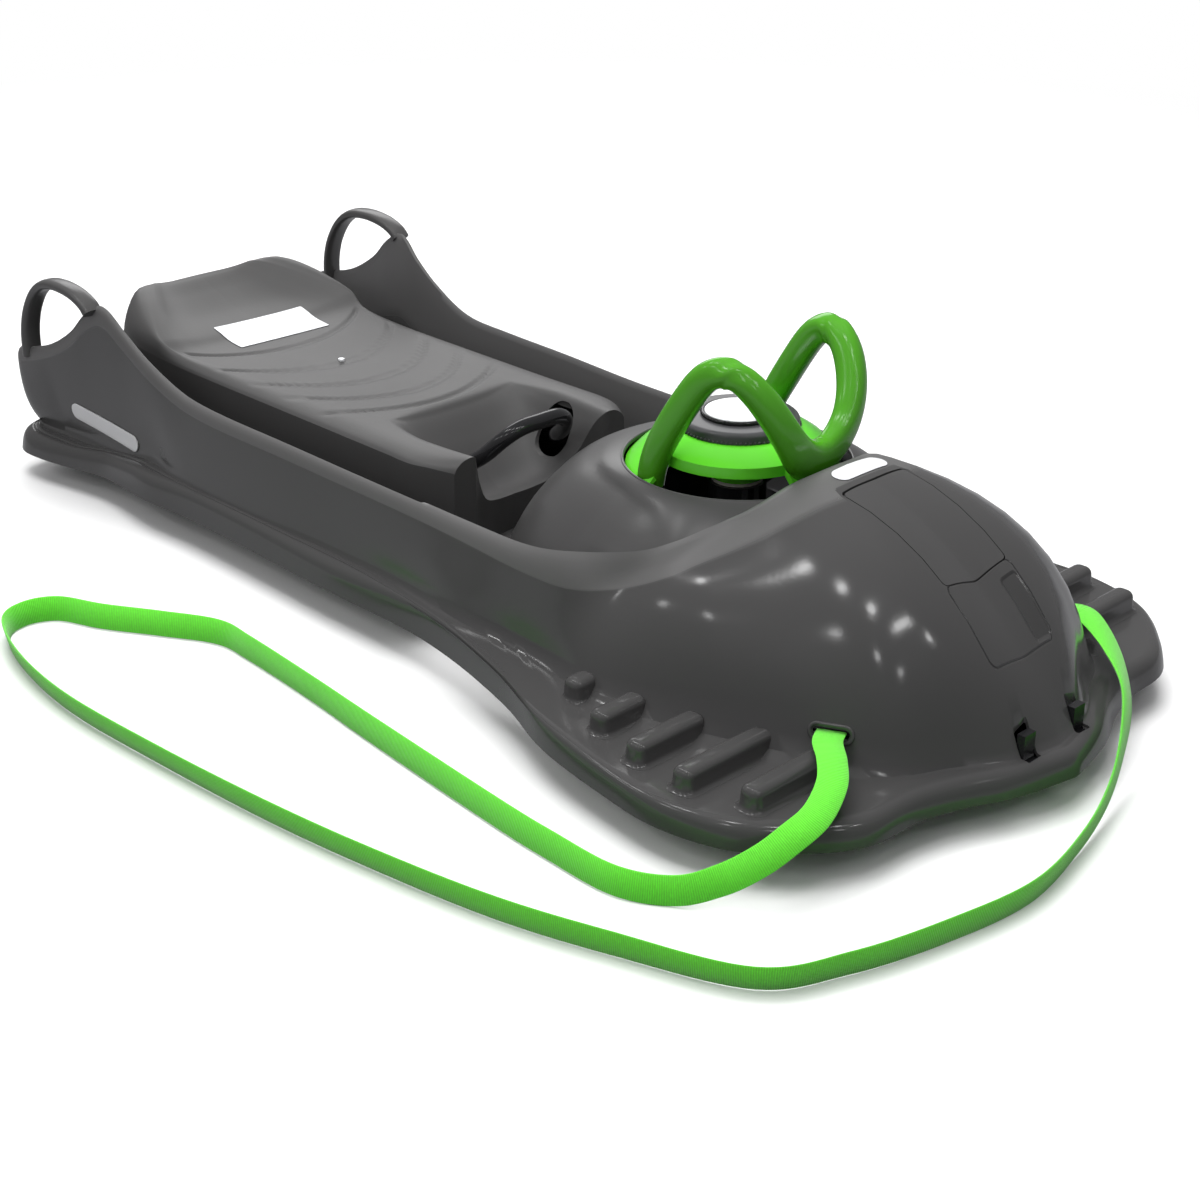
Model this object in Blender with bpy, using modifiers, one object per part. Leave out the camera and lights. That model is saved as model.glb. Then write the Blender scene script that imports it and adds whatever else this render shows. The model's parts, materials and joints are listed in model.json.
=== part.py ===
"""A steerable plastic sled: a hull with a hood, a seat, a steering wheel that turns a front ski, a pull
brake, a hatch and a tow strap. Metres, +Z up, nose towards -Y, the origin on the ground under the middle.
The steering stands a few degrees off straight."""
import bpy
import bmesh
from math import sin, cos, pi, radians, sqrt, atan2
from mathutils import Matrix, Vector

# Overall sizes
LENGTH = 1.150
WIDTH = 0.544
HOOD_TOP = 0.204
HALF_LENGTH = LENGTH / 2
HALF_WIDTH = WIDTH / 2
GAP = 0.0003
CUT_OVERRUN = 0.004

# Hull
HULL_WALL = 0.0025
LIP_HEIGHT = 0.032
DECK_HEIGHT = 0.058
DECK_DROP = 0.012
LIP_DROP = 0.006
FLOOR_TOP = 0.034
SKIRT_LEAN = 0.003
SKIRT_ROUND = 0.009
SKIRT_FLAT_FROM = 0.012
INNER_DRAFT = 0.012
RIM_LIP = 0.012
FLOOR_ROUND = 0.012
TUB_HALF_WIDTH = 0.170
TUB_REAR = 0.560
TUB_MIDDLE = 0.270
KEEL_X = 0.115
KEEL_WIDTH = 0.018
KEEL_FRONT = 0.020
KEEL_REAR = 0.510

# Ribs on the front deck
RIB_WIDTH = 0.020
RIB_TOP = 0.0640
RIB_ROUND = 0.007
RIB_BASE = 0.0435
RIB_FIRST = -0.2575
RIB_PITCH = 0.0502
RIB_OUTSIDE_SHARES = (0.778, 0.857, 0.903, 0.917, 0.862)
RIB_INSIDE_SHARES = (0.685, 0.676, 0.639, 0.563, 0.515)

# Steering
AXIS_Y = -0.232
STEER_NOW = radians(5.9)
COLUMN_RADIUS = 0.0122
BUSH_WALL = 0.0040
BUSH_FLANGE = 0.0210
TOWER_WALL = 0.0072
TOWER_TOP = 0.1610
PLATE_TOP = 0.0420
PLATE_THICKNESS = 0.0060
WHEEL_RADIUS = 0.090
WHEEL_EDGE_HEIGHT = 0.1760
WHEEL_TOP_RADIUS = 0.052
WHEEL_TOP = 0.2070
WHEEL_WALL = 0.0040
WHEEL_BOSS_RADIUS = 0.0210
LOOP_SECTION = 0.0220
LOOP_HEIGHT = 0.2790
WASHER_RADIUS = 0.050
WASHER_TOP = 0.2165
CAP_RADIUS = 0.0310
CAP_TOP = 0.2196
CAP_RECESS = 0.0016
INSERT_RADIUS = 0.0275
INSERT_TOP = 0.2202
PIN_RADIUS = 0.003

# Front ski
SKI_HALF_WIDTH = 0.190
SKI_REAR = 0.162
SKI_FRONT = -0.285
SKI_TOP = 0.0270
SKI_WALL = 0.0040
SKI_BOSS_RADIUS = 0.024

# Dome over the column
DOME_OPENING = 0.0925
DOME_WALL = 0.0030
DOME_SQUASH = 0.82
DOME_TOP = 0.180
DOME_FOOT = 0.250
DOME_SIDE = 0.147
DOME_FRONT = 0.112
DOME_TUCK = 0.0015
DOME_TUCK_DROP = 0.0075
DOME_EDGE_SHARE = 0.85
DOME_EDGE_DROP = 0.0100
DOME_FRONT_CURVE = 1.4

# Hatch
HATCH_HALF_WIDTH = 0.0375
HATCH_REAR = -0.3680
HATCH_FRONT = -0.4700
HATCH_GAP = 0.0010
HINGE_Y = -0.3712
HINGE_Z = 0.1967
HINGE_PIN_RADIUS = 0.0006
HINGE_PIN_REACH = 0.0050
HATCH_SIDE_GAP = 0.0008
TRAY_WALL = 0.0020
TRAY_REAR_TOP = 0.186
TRAY_FRONT_TOP = 0.134
NOTCH_X = 0.031
NOTCH_WIDTH = 0.015
NOTCH_Y = -0.5465
NOTCH_LENGTH = 0.017
NOTCH_TOP = 0.072
HOOK_TOP = 0.0640

# Seat
SEAT_HALF_WIDTH = 0.119
SEAT_TOP = 0.135
SEAT_FRONT = 0.0
SEAT_LENGTH = 0.553
SEAT_WALL = 0.0035
SEAT_SLOT_HEIGHT = 0.048
SEAT_SLOT_WIDTH = 0.036
SEAT_SLOT_Y = 0.053
SEAT_SLOT_Z = 0.108
SEAT_POST_RADIUS = 0.008
SEAT_POST_X = 0.085
SEAT_POST_REAR = 0.350
SEAT_POST_FRONT = 0.200
PLUG_RADIUS = 0.0030

# Brake
BRAKE_ROD = 0.0130
BRAKE_AXIS_Y = 0.150
BRAKE_AXIS_Z = 0.075
BRAKE_REACH = 0.148
BRAKE_HUB_RADIUS = 0.008
BRAKE_HUB_OUTSIDE = 0.0925
PIVOT_RADIUS = 0.004
PIVOT_HALF_LENGTH = 0.1035
BRACKET_THICKNESS = 0.008
CLAW_LENGTH = 0.160
CLAW_HALF_WIDTH = 0.030
CLAW_THICKNESS = 0.003
CLAW_SLOT_LENGTH = 0.060
SPRING_RADIUS = 0.0098
SPRING_WIRE = 0.0016
SPRING_TURNS = 5

# Rear handles, badges, strap, screws
HANDLE_WIDTH = 0.020
HANDLE_THICKNESS = 0.010
BADGE_LENGTH = 0.108
BADGE_HEIGHT = 0.0140
BADGE_THICKNESS = 0.0012
BADGE_Y = 0.4325
BADGE_Z = 0.0725
BADGE_SLANT = radians(6)
STRAP_WIDTH = 0.022
STRAP_THICKNESS = 0.0020
SLOT_LENGTH = 0.027
SLOT_HEIGHT = 0.007
SLOT_X = 0.146
SLOT_Y = -0.458
SLOT_Z = 0.071
SLOT_TURN = radians(30)
ANCHOR_RADIUS = 0.004
ANCHOR_DEPTH = 0.0120
SCREW_RADIUS = 0.0022
SCREW_HEAD_RADIUS = 0.0045
SCREW_HEAD = 0.0025

# Half outline of the hull, from the middle of the rear to the nose. Each row has a place on the skirt
# and on the deck's crease (x, y) and on the band and the rim (x, y, z), as shares of the overall sizes.
HULL_SHARES = (
    ((0, 0.986), (0, 0.984), (0, 0.987, 0.485), (0, 0.972, 0.515)),
    ((0.368, 0.986), (0.368, 0.984), (0.368, 0.987, 0.495), (0.368, 0.972, 0.525)),
    ((0.607, 0.984), (0.57, 0.982), (0.599, 0.995, 0.549), (0.599, 0.980, 0.578)),
    ((0.735, 0.977), (0.661, 0.972), (0.698, 0.998, 0.583), (0.677, 0.984, 0.613)),
    ((0.787, 0.939), (0.677, 0.928), (0.713, 0.957, 0.608), (0.688, 0.953, 0.637)),
    ((0.783, 0.883), (0.669, 0.87), (0.71, 0.887, 0.667), (0.684, 0.885, 0.691)),
    ((0.767, 0.84), (0.661, 0.809), (0.702, 0.817, 0.775), (0.677, 0.816, 0.799)),
    ((0.746, 0.783), (0.658, 0.765), (0.696, 0.771, 0.887), (0.669, 0.77, 0.912)),
    ((0.732, 0.723), (0.655, 0.713), (0.688, 0.719, 0.951), (0.661, 0.719, 0.98)),
    ((0.743, 0.657), (0.655, 0.661), (0.673, 0.67, 0.853), (0.647, 0.67, 0.882)),
    ((0.756, 0.583), (0.661, 0.6), (0.665, 0.609, 0.745), (0.638, 0.609, 0.777)),
    ((0.743, 0.496), (0.688, 0.522), (0.655, 0.522, 0.652), (0.626, 0.522, 0.681)),
    ((0.741, 0.4), (0.694, 0.417), (0.657, 0.417, 0.63), (0.628, 0.417, 0.659)),
    ((0.746, 0.261), (0.692, 0.261), (0.649, 0.261, 0.623), (0.622, 0.261, 0.652)),
    ((0.754, 0.104), (0.684, 0.104), (0.64, 0.104, 0.61), (0.612, 0.104, 0.64)),
    ((0.757, -0.13), (0.693, -0.052), (0.638, -0.052, 0.605), (0.61, -0.052, 0.637)),
    ((0.846, -0.348), (0.715, -0.174), (0.642, -0.174, 0.6), (0.61, -0.174, 0.637)),
    ((0.941, -0.478), (0.694, -0.272), (0.642, -0.287, 0.583), (0.608, -0.278, 0.642)),
    ((0.985, -0.617), (0.694, -0.367), (0.625, -0.377, 0.586), (0.591, -0.357, 0.676)),
    ((0.993, -0.717), (0.719, -0.458), (0.558, -0.438, 0.618), (0.519, -0.448, 0.728)),
    ((0.93, -0.814), (0.69, -0.571), (0.511, -0.493, 0.694), (0.455, -0.49, 0.779)),
    ((0.79, -0.883), (0.629, -0.675), (0.422, -0.521, 0.765), (0.389, -0.512, 0.819)),
    ((0.662, -0.918), (0.548, -0.787), (0.338, -0.544, 0.838), (0.323, -0.529, 0.853)),
    ((0.496, -0.923), (0.447, -0.866), (0.257, -0.569, 0.917), (0.245, -0.542, 0.882)),
    ((0.357, -0.941), (0.313, -0.903), (0.173, -0.591, 0.975), (0.163, -0.55, 0.917)),
    ((0.202, -0.973), (0.165, -0.946), (0.088, -0.605, 0.995), (0.081, -0.559, 0.941)),
    ((0, -0.995), (0, -0.964), (0, -0.609, 1.0), (0, -0.563, 0.951)),
)
# The wall between the crease and the band: the two inner handles of its curve, each as a share of the
# way in plan and of the rise, at the side of the hull, at its nose, beside it and at the rear.
WALL_SIDE_SHARES = (0.20, 0.33, 0.75, 0.70)
WALL_NOSE_SHARES = (0.08, 0.40, 0.66, 1.00)
WALL_CORNER_SHARES = (0.02, 0.55, 0.42, 1.00)
WALL_REAR_SHARES = (0.95, 0.15, 1.05, 0.60)
TUB_LAST_ROW = 15
HULL_STEPS = 32

# Seat rows from front to rear: y, how far the row bows forward at the corner, half width of the dish,
# its edge height, its depth, half width of the outline and height of the shoulder.
SEAT_SHARES = (
    (0.000, 1.00, 0.66, 1.00, 0.50, 0.86, 0.93),
    (0.035, 0.95, 0.68, 1.00, 0.52, 0.95, 0.95),
    (0.075, 0.70, 0.70, 1.00, 0.48, 1.00, 0.95),
    (0.125, 0.40, 0.71, 1.00, 0.36, 1.00, 0.95),
    (0.170, 0.15, 0.69, 1.00, 0.22, 1.00, 0.95),
    (0.215, 0.00, 0.66, 1.00, 0.07, 1.00, 0.95),
    (0.250, 0.00, 0.66, 1.00, 0.01, 1.00, 0.95),
    (0.400, 0.00, 0.70, 1.00, 0.01, 1.00, 0.95),
    (0.600, 0.00, 0.80, 1.00, 0.01, 1.00, 0.95),
    (0.715, 0.00, 0.90, 1.02, 0.02, 1.01, 0.96),
    (0.765, 0.00, 0.96, 1.10, 0.06, 1.04, 0.99),
    (0.820, 0.20, 0.83, 1.19, 0.10, 1.06, 1.02),
    (0.862, 0.50, 0.68, 1.26, 0.09, 1.04, 1.02),
    (0.888, 0.80, 0.55, 1.29, 0.05, 1.00, 0.98),
    (0.898, 0.86, 0.48, 1.24, 0.02, 0.93, 0.90),
    (0.905, 0.86, 0.42, 1.00, 0.00, 0.84, 0.74),
)
SEAT_BOW_SHARE = 0.068

# Dome: radius as a share of its foot's, height as a share of its top's.
DOME_SHARES = (
    (0.37, 1.00), (0.48, 0.956), (0.60, 0.861), (0.72, 0.694), (0.80, 0.528),
    (0.88, 0.290), (0.94, 0.232), (1.0, 0.212),
)

# The strap's route from the left slot round to the right one: x, y, z of its middle and its lean from
# flat, in degrees.
STRAP_ROUTE = (
    (-0.1402, -0.4546, 0.0710, 0), (-0.1540, -0.4625, 0.0710, 0), (-0.1700, -0.4800, 0.0700, 5),
    (-0.1900, -0.4970, 0.0660, 10), (-0.2180, -0.5080, 0.0580, 25), (-0.2420, -0.5060, 0.0490, 42),
    (-0.2610, -0.4960, 0.0350, 58), (-0.2790, -0.4770, 0.0190, 68), (-0.3020, -0.4560, 0.0115, 75),
    (-0.3220, -0.4180, 0.0115, 75), (-0.3230, -0.3550, 0.0115, 75), (-0.3200, -0.2900, 0.0115, 75),
    (-0.3080, -0.1370, 0.0115, 78), (-0.3000, -0.0500, 0.0115, 82),
    (-0.2940, 0.0420, 0.0115, 80), (-0.2950, 0.0860, 0.0115, 75), (-0.3200, 0.1330, 0.0115, 70),
    (-0.3490, 0.1810, 0.0115, 70), (-0.3680, 0.2210, 0.0115, 75), (-0.3960, 0.2320, 0.0115, 80),
    (-0.4220, 0.2150, 0.0115, 80), (-0.4430, 0.1500, 0.0115, 75), (-0.4530, 0.0610, 0.0115, 75),
    (-0.4480, -0.0560, 0.0115, 75), (-0.4380, -0.1750, 0.0115, 78), (-0.4240, -0.2760, 0.0115, 78),
    (-0.4030, -0.3830, 0.0115, 80), (-0.3750, -0.4700, 0.0115, 80), (-0.3370, -0.5600, 0.0115, 75),
    (-0.2810, -0.5920, 0.0115, 78), (-0.2100, -0.6130, 0.0115, 82), (-0.1300, -0.6250, 0.0115, 80),
    (-0.0550, -0.6130, 0.0125, 80), (0.0040, -0.5960, 0.0190, 88), (0.0500, -0.5760, 0.0340, 98),
    (0.0880, -0.5530, 0.0520, 115), (0.1180, -0.5210, 0.0640, 145), (0.1430, -0.4870, 0.0700, 170),
    (0.1540, -0.4650, 0.0710, 180), (0.1402, -0.4546, 0.0710, 180),
)
STRAP_STEPS = 76

for old in list(bpy.data.objects):
    bpy.data.objects.remove(old, do_unlink=True)

parts = bpy.data.collections.new("steerable_sled")
bpy.context.scene.collection.children.link(parts)
cutters = bpy.data.collections.new("cutters")
bpy.context.scene.collection.children.link(cutters)


# Materials

def finish(name, color, roughness, metallic=0.0):
    """A plain moulded or metal finish."""
    made = bpy.data.materials.new(name)
    made.use_nodes = True
    shader = made.node_tree.nodes["Principled BSDF"]
    shader.inputs["Base Color"].default_value = (*color, 1.0)
    shader.inputs["Roughness"].default_value = roughness
    shader.inputs["Metallic"].default_value = metallic
    return made


ANTHRACITE = finish("anthracite_plastic", (0.060, 0.060, 0.063), 0.28)
BLACK = finish("black_plastic", (0.012, 0.012, 0.013), 0.30)
GREY = finish("grey_plastic", (0.035, 0.035, 0.038), 0.45)
GREEN = finish("green_plastic", (0.090, 0.400, 0.020), 0.30)
WHITE = finish("white_plastic", (0.800, 0.800, 0.800), 0.40)
SILVER = finish("silver_plate", (0.600, 0.600, 0.600), 0.35, 0.6)
STEEL = finish("zinc_steel", (0.560, 0.570, 0.580), 0.35, 1.0)
BRONZE = finish("bush_plastic", (0.700, 0.680, 0.600), 0.50)
WEBBING = finish("green_webbing", (0.120, 0.780, 0.030), 0.80)


# Shapes

def place(name, mesh, material, where=parts):
    """An object for one piece, or a cutter when it has no material."""
    made = bpy.data.objects.new(name, mesh)
    where.objects.link(made)
    if material is None:
        made.hide_render = True
        made.display_type = "WIRE"
    else:
        mesh.materials.append(material)
        mesh.shade_smooth()
        mesh.set_sharp_from_angle(angle=radians(35))
    return made


def from_bmesh(name, shape, material, where=parts):
    bmesh.ops.recalc_face_normals(shape, faces=shape.faces)
    mesh = bpy.data.meshes.new(name)
    shape.to_mesh(mesh)
    shape.free()
    return place(name, mesh, material, where)


def cutter(name, shape):
    return from_bmesh(name, shape, None, cutters)


def block(low, high, round_off=0.0, segments=2):
    """A box between two corners, with its edges rounded."""
    shape = bmesh.new()
    size = [b - a for a, b in zip(low, high)]
    middle = [(a + b) / 2 for a, b in zip(low, high)]
    made = bmesh.ops.create_cube(shape, size=1.0)
    bmesh.ops.scale(shape, vec=size, verts=made["verts"])
    bmesh.ops.translate(shape, vec=middle, verts=made["verts"])
    if round_off:
        bmesh.ops.bevel(shape, geom=shape.edges, offset=round_off, segments=segments,
                        affect="EDGES", profile=0.5, clamp_overlap=True)
    return shape


def rod(radius, start, end, sides=24):
    """A cylinder from one point to another."""
    shape = bmesh.new()
    start = Vector(start)
    end = Vector(end)
    made = bmesh.ops.create_cone(shape, cap_ends=True, segments=sides, radius1=radius, radius2=radius,
                                 depth=(end - start).length)
    turn = (end - start).to_track_quat("Z", "Y").to_matrix().to_4x4()
    bmesh.ops.transform(shape, matrix=Matrix.Translation((start + end) / 2) @ turn, verts=made["verts"])
    return shape


def prism(outline, low, high):
    """A flat outline of (x, y) points, drawn up from one height to another."""
    shape = bmesh.new()
    foot = [shape.verts.new((x, y, low)) for x, y in outline]
    top = [shape.verts.new((x, y, high)) for x, y in outline]
    shape.faces.new(foot)
    shape.faces.new(top)
    for i, vertex in enumerate(foot):
        j = (i + 1) % len(foot)
        shape.faces.new((vertex, foot[j], top[j], top[i]))
    return shape


def loft(rings):
    """A closed body through rings of points, with a flat face at each end."""
    shape = bmesh.new()
    rows = [[shape.verts.new(point) for point in ring] for ring in rings]
    for near, far in zip(rows, rows[1:]):
        for i in range(len(near)):
            j = (i + 1) % len(near)
            shape.faces.new((near[i], near[j], far[j], far[i]))
    shape.faces.new(rows[0])
    shape.faces.new(rows[-1])
    return shape


def section(width, height, corner, count):
    """Points of a rounded rectangle, as a superellipse; a corner of 2 is an ellipse."""
    points = []
    for i in range(count):
        angle = 2 * pi * (i + 0.5) / count
        c = cos(angle)
        s = sin(angle)
        u = abs(c) ** (2 / corner) * (1 if c > 0 else -1) * width / 2
        v = abs(s) ** (2 / corner) * (1 if s > 0 else -1) * height / 2
        points.append((u, v))
    return points


def sweep(path, sides, sections):
    """A bar along a path, with the section's width along its side vector at each point."""
    rings = []
    for i, point in enumerate(path):
        before = path[max(i - 1, 0)]
        after = path[min(i + 1, len(path) - 1)]
        along = (after - before).normalized()
        side = sides[i] - along * sides[i].dot(along)
        side.normalize()
        up = along.cross(side)
        rings.append([point + side * u + up * v for u, v in sections[i]])
    return loft(rings)


def smooth(rows, count):
    """Rows of numbers on a smooth curve through the given rows."""
    last = len(rows) - 1
    made = []
    for i in range(count):
        t = last * i / (count - 1)
        k = min(int(t), last - 1)
        f = t - k
        quad = [rows[max(k - 1, 0)], rows[k], rows[k + 1], rows[min(k + 2, last)]]
        row = []
        for p0, p1, p2, p3 in zip(*quad):
            curve = 2 * p1 + (p2 - p0) * f + (2 * p0 - 5 * p1 + 4 * p2 - p3) * f * f
            row.append((curve + (3 * p1 - p0 - 3 * p2 + p3) * f * f * f) / 2)
        made.append(row)
    return made


def turned(name, profile, material, steps=36, flip=False):
    """A turned piece about the vertical, from the outline of its section as (radius, height)."""
    mesh = bpy.data.meshes.new(name)
    edges = [(i, (i + 1) % len(profile)) for i in range(len(profile))]
    edges = [(i, j) for i, j in edges if profile[i][0] + profile[j][0] > 0]
    mesh.from_pydata([(r, 0, z) for r, z in profile], edges, [])
    made = place(name, mesh, material)
    screw = made.modifiers.new("turn", "SCREW")
    screw.angle = 2 * pi
    screw.steps = steps
    screw.render_steps = steps
    screw.use_merge_vertices = True
    screw.merge_threshold = 0.00001
    screw.use_normal_calculate = True
    screw.use_normal_flip = flip
    made.location = (0, AXIS_Y, 0)
    return made


def combine(target, tool, operation):
    """Cut the target by a tool, or join the tool to it."""
    made = target.modifiers.new(operation.lower(), "BOOLEAN")
    made.operation = operation
    made.object = tool
    return made


def cut(target, tool):
    return combine(target, tool, "DIFFERENCE")


def join(target, tool):
    return combine(target, tool, "UNION")


def frozen(source):
    """A mesh of an object as its modifiers leave it, in the world's frame."""
    bpy.context.view_layer.update()
    seen = source.evaluated_get(bpy.context.evaluated_depsgraph_get())
    mesh = bpy.data.meshes.new_from_object(seen)
    mesh.transform(source.matrix_world)
    return mesh


def screw_at(name, place_at, down, length):
    """A pan-head screw whose head sits at a point, with its shank along a direction."""
    direction = Vector(down).normalized()
    head = Vector(place_at)
    turn = direction.to_track_quat("Z", "Y").to_matrix().to_4x4()
    rings = []
    outline = ((SCREW_HEAD_RADIUS * 0.6, -SCREW_HEAD), (SCREW_HEAD_RADIUS, -SCREW_HEAD * 0.5),
               (SCREW_HEAD_RADIUS, 0), (SCREW_RADIUS, 0), (SCREW_RADIUS, length))
    for radius, depth in outline:
        ring = [(radius * cos(2 * pi * i / 8), radius * sin(2 * pi * i / 8), depth) for i in range(8)]
        rings.append([head + turn @ Vector(point) for point in ring])
    return from_bmesh(name, loft(rings), STEEL)


# Hull

def hull_rows():
    """The half outline's rows in metres: skirt, crease, band and rim points."""
    flat = [[value for point in row for value in point] for row in HULL_SHARES]
    rows = []
    for r in smooth(flat, HULL_STEPS):
        front = max(0.0, min(1.0, (-r[3] - 0.12) / 0.28))
        rear = max(0.0, min(1.0, (r[3] - 0.63) / 0.17))
        end = max(front, rear)
        skirt = Vector((r[0] * HALF_WIDTH, r[1] * HALF_LENGTH, LIP_HEIGHT - LIP_DROP * end))
        crease = Vector((r[2] * HALF_WIDTH, r[3] * HALF_LENGTH, DECK_HEIGHT - DECK_DROP * end))
        band = Vector((r[4] * HALF_WIDTH, r[5] * HALF_LENGTH, r[6] * HOOD_TOP))
        rim = Vector((r[7] * HALF_WIDTH, r[8] * HALF_LENGTH, r[9] * HOOD_TOP))
        rows.append((skirt, crease, band, rim))
    for row in (rows[0], rows[-1]):
        for point in row:
            point.x = 0.0
    return rows


def tub_inset(point, distance):
    """A point of the rim moved in towards the middle of the tub."""
    y = point.y
    if y > TUB_MIDDLE:
        y = TUB_MIDDLE + (y - TUB_MIDDLE) * (1 - distance / (TUB_REAR - TUB_MIDDLE))
    return Vector((point.x * (1 - distance / TUB_HALF_WIDTH), y, FLOOR_TOP))


def hull_profile(rows, i):
    """One row of the hull's outer sheet, from the spine of the floor over the rim to the skirt's lip."""
    skirt, crease, band, rim = rows[i]
    tub_last = round(TUB_LAST_ROW / (len(HULL_SHARES) - 1) * (len(rows) - 1))
    nose = max(0.0, min(1.0, (-crease.y / HALF_LENGTH - 0.35) / 0.3))
    before = rows[max(i - 1, 0)][3]
    after = rows[min(i + 1, len(rows) - 1)][3]
    along = (after - before).to_2d().normalized()
    inward = Vector((along.y, -along.x, 0.0))
    if i in (0, len(rows) - 1):
        inward = Vector((0.0, -1.0 if i == 0 else 1.0, 0.0))
    up = Vector((0.0, 0.0, 1.0))
    points = []
    if i <= tub_last:
        spine_rear = 0.85 * TUB_REAR
        spine_y = spine_rear + (rows[tub_last][3].y - spine_rear) * i / tub_last
        spine = Vector((0.0, spine_y, FLOOR_TOP))
        edge = tub_inset(rim, INNER_DRAFT + FLOOR_ROUND)
        points += [spine, spine.lerp(edge, 0.5), edge]
        points.append(tub_inset(rim, INNER_DRAFT + FLOOR_ROUND * 0.3) + up * FLOOR_ROUND * 0.3)
        points.append(tub_inset(rim, INNER_DRAFT) + up * FLOOR_ROUND)
        points.append(rim + inward * 0.15 * INNER_DRAFT - up * RIM_LIP)
    else:
        points += [None] * 6
    points.append(rim)
    points.append(rim.lerp(band, 0.45) + up * 0.25 * (rim - band).to_2d().length)
    points.append(band)
    tail = max(0.0, min(1.0, (crease.y / HALF_LENGTH - 0.88) / 0.06))
    corner = min(1.0, crease.x / (0.3 * HALF_WIDTH))
    front = [a + (b - a) * corner for a, b in zip(WALL_NOSE_SHARES, WALL_CORNER_SHARES)]
    f1, g1, f2, g2 = [a + (b - a) * nose for a, b in zip(WALL_SIDE_SHARES, front)]
    f1, g1, f2, g2 = [a + (b - a) * tail for a, b in zip((f1, g1, f2, g2), WALL_REAR_SHARES)]
    rise = band.z - crease.z
    handle_1 = crease + Vector(((band.x - crease.x) * f1, (band.y - crease.y) * f1, rise * g1))
    handle_2 = crease + Vector(((band.x - crease.x) * f2, (band.y - crease.y) * f2, rise * g2))
    for t in (0.82, 0.62, 0.42, 0.2):
        s = 1 - t
        points.append(crease * s ** 3 + handle_1 * 3 * s * s * t + handle_2 * 3 * s * t * t + band * t ** 3)
    points.append(crease)
    out = (skirt - crease).to_2d()
    width = out.length
    out = Vector((out.x, out.y, 0.0)) / width
    lean = min(SKIRT_LEAN, width * 0.3)
    top = skirt - out * lean
    inset = min(SKIRT_ROUND, width * 0.45)
    top.z = crease.z
    steep = max(0.0, 1 - width / SKIRT_FLAT_FROM) * (crease.z - skirt.z)
    points.append(crease.lerp(top - out * inset, 0.5) - up * 0.2 * steep)
    points.append(top - out * inset - up * 0.4 * steep)
    points.append(top - out * inset * 0.3 - up * (inset * 0.25 + 0.52 * steep))
    points.append(top + out * lean * 0.4 - up * (inset + 0.65 * steep))
    points.append(skirt.copy())
    if i in (0, len(rows) - 1):
        for point in points:
            if point is not None:
                point.x = 0.0
    return points


def hull_sheet(name, material, where=parts):
    """The outer sheet of the hull, one half mirrored, with its wall inwards."""
    rows = hull_rows()
    grid = [hull_profile(rows, i) for i in range(len(rows))]
    shape = bmesh.new()
    made = []
    for row in grid:
        made.append([None if point is None else shape.verts.new(point) for point in row])
    for near, far in zip(made, made[1:]):
        for j in range(len(near) - 1):
            corners = [near[j], near[j + 1], far[j + 1], far[j]]
            if None not in corners:
                shape.faces.new(corners)
    bmesh.ops.remove_doubles(shape, verts=shape.verts, dist=0.00002)
    bmesh.ops.recalc_face_normals(shape, faces=shape.faces)
    shape.faces.ensure_lookup_table()
    deck = max(shape.faces, key=lambda face: face.calc_center_median().z)
    if deck.normal.z < 0:
        bmesh.ops.reverse_faces(shape, faces=shape.faces)
    mesh = bpy.data.meshes.new(name)
    shape.to_mesh(mesh)
    shape.free()
    sheet = place(name, mesh, material, where)
    mirror = sheet.modifiers.new("mirror", "MIRROR")
    mirror.merge_threshold = 0.0001
    wall = sheet.modifiers.new("wall", "SOLIDIFY")
    wall.thickness = HULL_WALL
    wall.offset = -1.0
    wall.use_even_offset = False
    return sheet


hull = hull_sheet("hull", ANTHRACITE)


def rib(i, side):
    y = RIB_FIRST - RIB_PITCH * i
    inside = RIB_INSIDE_SHARES[i] * HALF_WIDTH
    outside = RIB_OUTSIDE_SHARES[i] * HALF_WIDTH
    low = (min(side * inside, side * outside), y - RIB_WIDTH / 2, RIB_BASE)
    high = (max(side * inside, side * outside), y + RIB_WIDTH / 2, RIB_TOP)
    return cutter(f"rib_form_{i}_{side}", block(low, high, RIB_ROUND, 2))


for number in range(len(RIB_INSIDE_SHARES)):
    for hand in (-1, 1):
        join(hull, rib(number, hand))

for hand in (-1, 1):
    keel = block((hand * KEEL_X - KEEL_WIDTH / 2, KEEL_FRONT, 0.0),
                 (hand * KEEL_X + KEEL_WIDTH / 2, KEEL_REAR, FLOOR_TOP - HULL_WALL / 2))
    join(hull, cutter(f"keel_form_{hand}", keel))

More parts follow.
